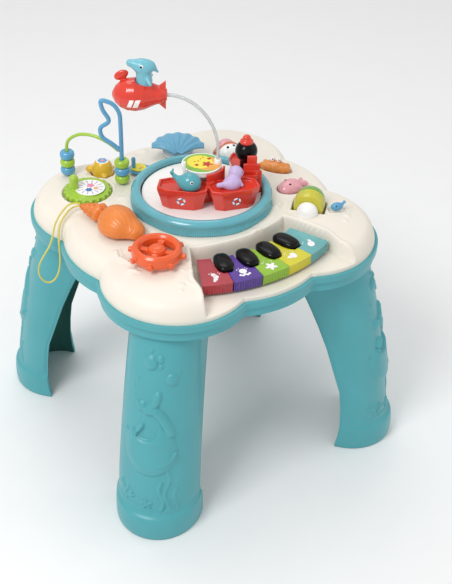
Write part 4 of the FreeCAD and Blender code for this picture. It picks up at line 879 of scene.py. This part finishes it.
disc("turtle_badge", TURTLE, 8.6, 373.2, "eye_white", "turtle", 0.5)
disc("turtle_badge_blue", TURTLE, 7.4, 373.55, "blue", "turtle", 0.3, lobes=6, depth=0.14)
disc("turtle_badge_pink", TURTLE, 3.4, 373.75, "print_pink", "turtle", 0.3, lobes=5, depth=0.3)
disc("gear_badge", (GEAR[0] + 3, GEAR[1] - 2), 21.0, 358.9, "eye_white", "gear", 0.4)
for k in range(14):
    a = math.radians(k * 360 / 14)
    cx, cy = GEAR[0] + 3, GEAR[1] - 2
    q0, q1 = np.array((cx + 9 * math.cos(a), cy + 9 * math.sin(a))), np.array((cx + 18.5 * math.cos(a), cy + 18.5 * math.sin(a)))
    n2 = np.array((-math.sin(a), math.cos(a)))
    V1 = [(*(q0 + n2 * 0.25), 359.2), (*(q0 - n2 * 0.25), 359.2), (*(q1 - n2 * 0.75), 359.2), (*(q1 + n2 * 0.75), 359.2)]
    V1 += [(x_, y_, 359.42) for x_, y_, _ in V1]
    add("gear_ray_%02d" % k, V1, [(3, 2, 1, 0), (4, 5, 6, 7), (0, 1, 5, 4), (1, 2, 6, 5), (2, 3, 7, 6), (3, 0, 4, 7)], "print_purple", "gear", False)
disc("gear_flower_pink", (GEAR[0] + 6, GEAR[1] + 2), 6.0, 359.25, "print_pink", "gear", 0.3, lobes=5, depth=0.35)
disc("gear_flower_blue", (GEAR[0] - 1, GEAR[1] - 7), 5.2, 359.25, "print_blue", "gear", 0.3, lobes=6, depth=0.3)
disc("gear_flower_gold", (GEAR[0] + 9, GEAR[1] - 8), 3.4, 359.25, "print_orange", "gear", 0.3, lobes=5, depth=0.3)
soften("small_dial_plate", "blue", "root", 0.5, 4)
soften("small_dial_disc", "print_yellow", "small_dial", 0.5, 2)
disc("dial_spot_a", (SDIAL[0] + 3, SDIAL[1] - 3), 3.2, 361.5, "print_orange", "small_dial", 0.2, lobes=5, depth=0.3)
disc("dial_spot_b", (SDIAL[0] - 1, SDIAL[1] - 6), 2.2, 361.5, "print_green", "small_dial", 0.2, lobes=5, depth=0.3)
soften("small_dial_peg", "blue", "small_dial", 0.4, 3)

# monkey: fur rim, pale face, pink cap
mx, my = MONKEY
nets("monkey_head", lambda x, y, z:
     np.maximum(U(E(x, y, z, (mx, my, 358), (19.6, 19.6, 14.5)), U(E(x, y, z, (mx - 17, my + 2, 358), (3.6, 5.6, 5.2)), E(x, y, z, (mx + 17, my + 2, 358), (3.6, 5.6, 5.2)), 0.5), 1.2), 350.9 - z),
     (mx - 23, my - 23, 349.5), (mx + 23, my + 23, 374), 0.8, "brown", "monkey", ("monkey_button",))
nets("monkey_face", lambda x, y, z: np.maximum(U(E(x, y, z, (mx - 2, my - 6.0, 362), (16.4, 12.4, 10.8)), E(x, y, z, (mx - 2, my - 11, 358), (13.5, 8.0, 9.0)), 2), 351.5 - z),
     (mx - 21, my - 21, 350), (mx + 20, my + 10, 374), 0.7, "eye_white", "monkey")
nets("monkey_cap", lambda x, y, z: np.maximum(U(E(x, y, z, (mx, my + 9.0, 363.6), (13.6, 9.6, 10.2)), E(x, y, z, (mx - 1, my + 4.0, 368.6), (13.0, 4.6, 3.2)), 1.0), 352 - z), (mx - 17, my - 6, 351), (mx + 17, my + 20, 376), 0.7, "pink", "monkey")
for s_ in (-1, 1):
    ball("monkey_eye_%d" % (s_ + 1), (mx + 5.0 * s_ - 2.5, my - 9.6, 371.6), 2.0, "black", "monkey", (-0.2, -0.6, 0.8), 0.6)
ball("monkey_nose", (mx - 2.4, my - 17.2, 366.0), 0.9, "brown", "monkey", (0, -1, 0.5), 0.6)

# crab and fish buttons
ca, sa_ = math.cos(math.radians(-52)), math.sin(math.radians(-52))


def on_crab(u_, v_, z_):
    return (CRAB[0] + u_ * ca - v_ * sa_, CRAB[1] + u_ * sa_ + v_ * ca, z_)


def crab_f(x, y, z):
    d = E(x, y, z, (*CRAB, 355), (20.0, 12.6, 9.0), -52)
    for u_, v_, r_ in ((-18.5, -3.5, 4.4), (18.5, -3.5, 4.4), (-13, -8.5, 3.8), (13, -8.5, 3.8), (0, -9.5, 3.6), (-16.5, 5.5, 4.0), (16.5, 5.5, 4.0)):
        p = on_crab(u_, v_, 355.5)
        d = U(d, E(x, y, z, p, (r_, r_, 5.4)), 3.0)
    for u_ in (-4.6, 4.6):
        d = U(d, E(x, y, z, on_crab(u_, 1.5, 364.5), (3.9, 3.9, 3.9)), 1.2)
    return np.maximum(d, 350.6 - z)


nets("crab_toy", crab_f, (110, -8, 349), (168, 54, 371), 0.7, "crab", "crab", ("crab_button",))
for s_ in (-1, 1):
    p = on_crab(4.6 * s_, 0.0, 366.4)
    ball("crab_eye_w%d" % (s_ + 1), p, 3.0, "eye_white", "crab", tuple(camdir), 0.7)
    ball("crab_eye_b%d" % (s_ + 1), tuple(np.array(p) + camdir * 1.5), 1.3, "black", "crab", tuple(camdir), 0.6)
nets("fish_toy", lambda x, y, z: np.maximum(U(U(E(x, y, z, (FISH[0] - 3.5, FISH[1], 355), (18.8, 13.4, 11.0), 5), E(x, y, z, (FISH[0] + 17.5, FISH[1] + 5.2, 356.5), (6.2, 3.4, 4.6), 40), 2.5),
     U(E(x, y, z, (FISH[0] + 17.5, FISH[1] - 3.0, 356.5), (6.2, 3.4, 4.6), -30), C(x, y, z, (FISH[0] + 1, FISH[1] - 10, 360.0), (FISH[0] + 7, FISH[1] - 12.4, 356.6), 3.0, 1.8), 1.2), 2.5), 350.6 - z),
     (102, -52, 349), (153, -16, 369), 0.7, "pink", "fish", ("fish_button",))
for s_ in (-1, 1):
    p = np.array((FISH[0] - 8.0 + 0.6 * s_, FISH[1] + 6.0 * s_, 363.4))
    ball("fish_eye_%d" % (s_ + 1), tuple(p), 2.0, "black", "fish", tuple(camdir), 0.7)
nets("switch_toy", lambda x, y, z: np.maximum(U(U(E(x, y, z, (SWITCH[0] - 1, SWITCH[1] + 0.3, 358), (8.4, 5.2, 6.0), -18), C(x, y, z, (SWITCH[0] + 4, SWITCH[1] - 1.3, 359), (SWITCH[0] + 8.6, SWITCH[1] - 2.8, 363.5), 2.6, 1.6), 2.0),
     E(x, y, z, (SWITCH[0] + 9, SWITCH[1] - 2.9, 364.2), (1.5, 3.4, 1.3), -18), 1.0), 349.6 - z), (SWITCH[0] - 14, SWITCH[1] - 12, 348), (SWITCH[0] + 14, SWITCH[1] + 12, 367), 0.6, "blue", "switch", ("slide_switch",))
ball("switch_eye", (SWITCH[0] - 4.6, SWITCH[1] - 3.0, 361.0), 0.9, "black", "switch", tuple(camdir), 0.7)

# roller: two coloured halves with a light divider, and the white end dome
ax45 = (c45, c45, 0)
rc_ = (ROLL[0], ROLL[1], 358.5)
lathe("roller_half_olive", [(2.3, -14.8), (18.6, -14.8), (19.2, -14.2), (20.3, -9), (20.8, -3), (20.9, -0.9), (2.3, -0.9)], "roller_y", "roller_drum", rc_, ax45, 72, replaces=("roller",))
lathe("roller_half_green", [(2.3, 0.9), (20.9, 0.9), (20.8, 3), (20.3, 9), (19.2, 14.2), (18.6, 14.8), (2.3, 14.8)], "roller_g", "roller_drum", rc_, ax45, 72)
lathe("roller_band", [(2.3, -0.95), (21.0, -0.95), (21.0, 0.95), (2.3, 0.95)], "print_yellow", "roller_drum", rc_, ax45, 72)
bx, by = ROLL[0] - 20.0 * c45, ROLL[1] - 20.0 * c45
nets("roller_dome", lambda x, y, z: np.maximum(np.maximum(E(x, y, z, (bx, by, 356.5), (14.3, 14.3, 14.3)), ((x - ROLL[0]) * c45 + (y - ROLL[1]) * c45) + 16.6), 352.5 - z), (bx - 17, by - 17, 351.5), (bx + 17, by + 17, 373), 0.7, "white", "root", ("half_ball",))

# scallop: fluted lid, hinged at its inner side
SN = (math.cos(math.radians(59)), math.sin(math.radians(59)))


def scal_frame(p):
    """hinge coordinates (across, out, up) to the deck, lid open 14 degrees"""
    x, y, z = p[:, 0], p[:, 1], p[:, 2]
    a = math.radians(14)
    y, z = y * math.cos(a) - z * math.sin(a), y * math.sin(a) + z * math.cos(a)
    st_ = (SN[1], -SN[0])
    return np.stack([27 + x * st_[0] + y * SN[0], 106 + x * st_[1] + y * SN[1], 361.5 + z], 1)


na, nb = 141, 60
A = np.linspace(-1.18, 1.18, na)
B = np.linspace(0.0, 1.0, nb)
AA, BB = np.meshgrid(A, B, indexing="ij")
flute = 0.5 + 0.5 * np.cos(AA / 1.18 * math.pi * 7)
Lr = (43.0 - 5.0 * (np.abs(AA) / 1.18) ** 2.2) - 2.0 * (1 - flute)
rr_ = 5.0 + (Lr - 0.0) * BB
sx, sy = rr_ * np.sin(AA), 3.0 + rr_ * np.cos(AA) * 0.96
bell = np.sin(np.clip(BB, 0, 1) * math.pi * 0.86 + 0.12) ** 0.7
sz = 1.6 + 8.6 * bell * np.cos(AA * 0.62) + 2.2 * flute * np.clip(BB * 1.6, 0, 1) * (1 - 0.8 * BB ** 10)
topv = np.stack([sx, np.maximum(sy, 4.8), sz], 2).reshape(-1, 3)
botv = np.stack([sx, np.maximum(sy, 4.8), np.maximum(sz - 2.6, 1.25)], 2).reshape(-1, 3)
V_ = scal_frame(np.concatenate([topv, botv]))
N = na * nb
i, k = np.meshgrid(np.arange(na - 1), np.arange(nb - 1), indexing="ij")
q = np.stack([i * nb + k, (i + 1) * nb + k, (i + 1) * nb + k + 1, i * nb + k + 1], 2).reshape(-1, 4)
F = [q[:, ::-1], q + N]
ii, kk = np.arange(na - 1), np.arange(nb - 1)
F.append(np.stack([ii * nb, (ii + 1) * nb, (ii + 1) * nb + N, ii * nb + N], 1))
F.append(np.stack([ii * nb + nb - 1, ii * nb + nb - 1 + N, (ii + 1) * nb + nb - 1 + N, (ii + 1) * nb + nb - 1], 1))
F.append(np.stack([kk, kk + N, kk + 1 + N, kk + 1], 1))
b_ = (na - 1) * nb
F.append(np.stack([b_ + kk, b_ + kk + 1, b_ + kk + 1 + N, b_ + kk + N], 1))
add("scallop_shell", V_, np.concatenate(F), "shell", "scallop", True, ("scallop_lid",))

# conch handset: swelling body whorl with growth seams, and a stepped spire
def conch_f(x, y, z):
    d = E(x, y, z, (-130.0, -4.0, 361.5), (30.5, 26.5, 24.0), 80)
    d = U(d, E(x, y, z, (-119, -30, 361), (15.5, 13.5, 13.0), 60), 9.0)
    ang = np.arctan2(z - 361.0, (x + 130) * math.cos(math.radians(-10)) + (y + 4) * math.sin(math.radians(-10)))
    lon = (x + 138) * 0.17 + (y - 30) * -0.98
    d = d + 0.55 * np.exp(-((np.mod(ang * 3.2 + lon * 0.045, 1.0) - 0.5) / 0.07) ** 2)
    for c_, r_ in (((-138, 30.5, 361.5), 14.6), ((-141.5, 41.5, 360.5), 12.0), ((-144.6, 50.5, 359.8), 9.2), ((-147, 57.5, 359.4), 6.6), ((-148.8, 62.5, 359.2), 4.2)):
        e = E(x, y, z, c_, (r_ * 0.62, r_, r_), 110)
        e = e + 0.5 * np.cos(np.arctan2(z - 360, x - c_[0]) * 9) * (r_ / 14.0)
        d = U(d, e, 1.3)
    return np.maximum(d, 358.3 - z)


nets("conch_toy", conch_f, (-164, -52, 357), (-96, 72, 388), 0.9, "orange", "handset", ("conch_handset",))

# cap print: yellow field, green crescent, generic star and spots
disc("cap_green", (0, 0), 25.2, 412.8, "print_green", "flyer", 0.3)
disc("cap_orange", (6, -6.5), 17.5, 413.0, "print_orange", "flyer", 0.3)
disc("cap_yellow", (-1, 3), 17.8, 413.2, "print_yellow", "flyer", 0.3, lobes=16, depth=0.06)
disc("cap_star", (4, -7), 7.4, 413.4, "print_red", "flyer", 0.3, lobes=5, depth=0.45)
for q, (dx, dy, r_) in enumerate(((-9, -2, 3.0), (14, 4, 3.0), (-2, 6, 1.4), (4, 9, 1.2), (-7, 7, 1.1), (9, 11, 1.2))):
    disc("cap_spot_%d" % q, (dx, dy), r_, 413.4, "print_red", "flyer", 0.3, lobes=4, depth=0.25)

# key prints: simple sea signs with bubbles, centred on each key's front half
def at_key(a_deg, r_, u_=0.0):
    a = math.radians(a_deg)
    return (0 + r_ * math.sin(a) + u_ * math.cos(a), 50 - r_ * math.cos(a) + u_ * math.sin(a))


zt = 345.95
for nm, ad in (("red", -20), ("purple", -10), ("green", 0), ("yellow", 10), ("teal", 20)):
    body = "key_body_" + nm
    c0 = at_key(ad, 216)
    if nm == "red":
        for q, (dr, du, r_) in enumerate(((6, -1.5, 3.4), (1.5, 0.8, 3.8), (-3.5, -0.6, 3.0), (-7, -2.6, 2.0))):
            disc("sign_red_%d" % q, at_key(ad, 214 - dr, du), r_, zt, "print_white", body, 0.25, lobes=7, depth=0.12)
    elif nm == "purple":
        disc("sign_purple_head", at_key(ad, 210), 5.0, zt, "print_white", body, 0.25)
        for q in range(5):
            disc("sign_purple_%d" % q, at_key(ad, 217.0 + (1.5 if q % 2 else 0), -6 + 3 * q), 1.9, zt, "print_white", body, 0.25)
    elif nm == "green":
        disc("sign_green", c0, 8.2, zt, "print_white", body, 0.25, n=60, lobes=5, depth=0.5)
    elif nm == "yellow":
        disc("sign_yellow_body", at_key(ad, 214, 1.0), 5.6, zt, "print_white", body, 0.25, lobes=2, depth=0.25)
        disc("sign_yellow_tail", at_key(ad, 214, -5.8), 3.4, zt, "print_white", body, 0.25, lobes=3, depth=0.4)
    else:
        disc("sign_teal_body", at_key(ad, 214), 5.8, zt, "print_white", body, 0.25, lobes=2, depth=0.2, ph=1.2)
        disc("sign_teal_fluke", at_key(ad, 208, 5.0), 2.8, zt, "print_white", body, 0.25, lobes=3, depth=0.4)
    for q, (dr, du, r_) in enumerate(((12.5, -6.5, 0.9), (14.5, -3.5, 0.7), (10.8, 6.5, 0.8), (13.6, 5.0, 0.6))):
        disc("dots_%s_%d" % (nm, q), at_key(ad, 216 - dr * 0.85, du), r_, zt, "print_white", body, 0.2, n=16)

# ---------------------------------------------------------------- CAD nodes that stay as they are
KEEP = {"lower_tray": "teal", "battery_door": "teal", "batteries": "steel", "battery_contacts": "steel", "scallop_pin": "steel", "scallop_mirror": "mirror", "roller_axle": "white",
        "circuit_board": "board", "rubber_domes": "rubber", "speaker": "black", "case_screws": "steel", "turntable_spigot": "white"}
for n_, m_ in KEEP.items():
    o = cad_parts[n_]
    if not o.material_slots:
        o.data.materials.append(MAT[m_])
    for s_ in o.material_slots:
        s_.material = MAT[m_]

# ---------------------------------------------------------------- floor and light
me = bpy.data.meshes.new("floor")
gx = [-6.0, -2.0, 0.0, 2.0, 6.0]
vs = [(x_, y_, -0.0008) for y_ in gx for x_ in gx]
fs = [(j_ * 5 + i_, j_ * 5 + i_ + 1, (j_ + 1) * 5 + i_ + 1, (j_ + 1) * 5 + i_) for j_ in range(4) for i_ in range(4)]
me.from_pydata(vs, [], fs)
fl = bpy.data.objects.new("floor", me)
scn.collection.objects.link(fl)
me.materials.append(plastic("floor_pale", "F7F7F7", 0.6, 0.005, 0.01, 200))
w = bpy.data.worlds.new("studio")
scn.world = w
w.use_nodes = True
w.node_tree.nodes["Background"].inputs[0].default_value = (1, 1, 1, 1)
w.node_tree.nodes["Background"].inputs[1].default_value = 0.66


def area(name, loc, to, size, power):
    ld = bpy.data.lights.new(name, "AREA")
    ld.shape = "RECTANGLE"
    ld.size, ld.size_y, ld.energy = size, size, power
    o = bpy.data.objects.new(name, ld)
    scn.collection.objects.link(o)
    o.location = loc
    o.rotation_euler = (Vector(to) - Vector(loc)).to_track_quat("-Z", "Y").to_euler()


area("key", (-1.5, -0.5, 2.1), (0, 0, 0.3), 0.9, 26)
area("fill", (2.0, -1.2, 1.4), (0, 0, 0.3), 1.8, 4)
area("top", (0.3, 1.0, 2.4), (0, 0, 0.3), 1.2, 9)
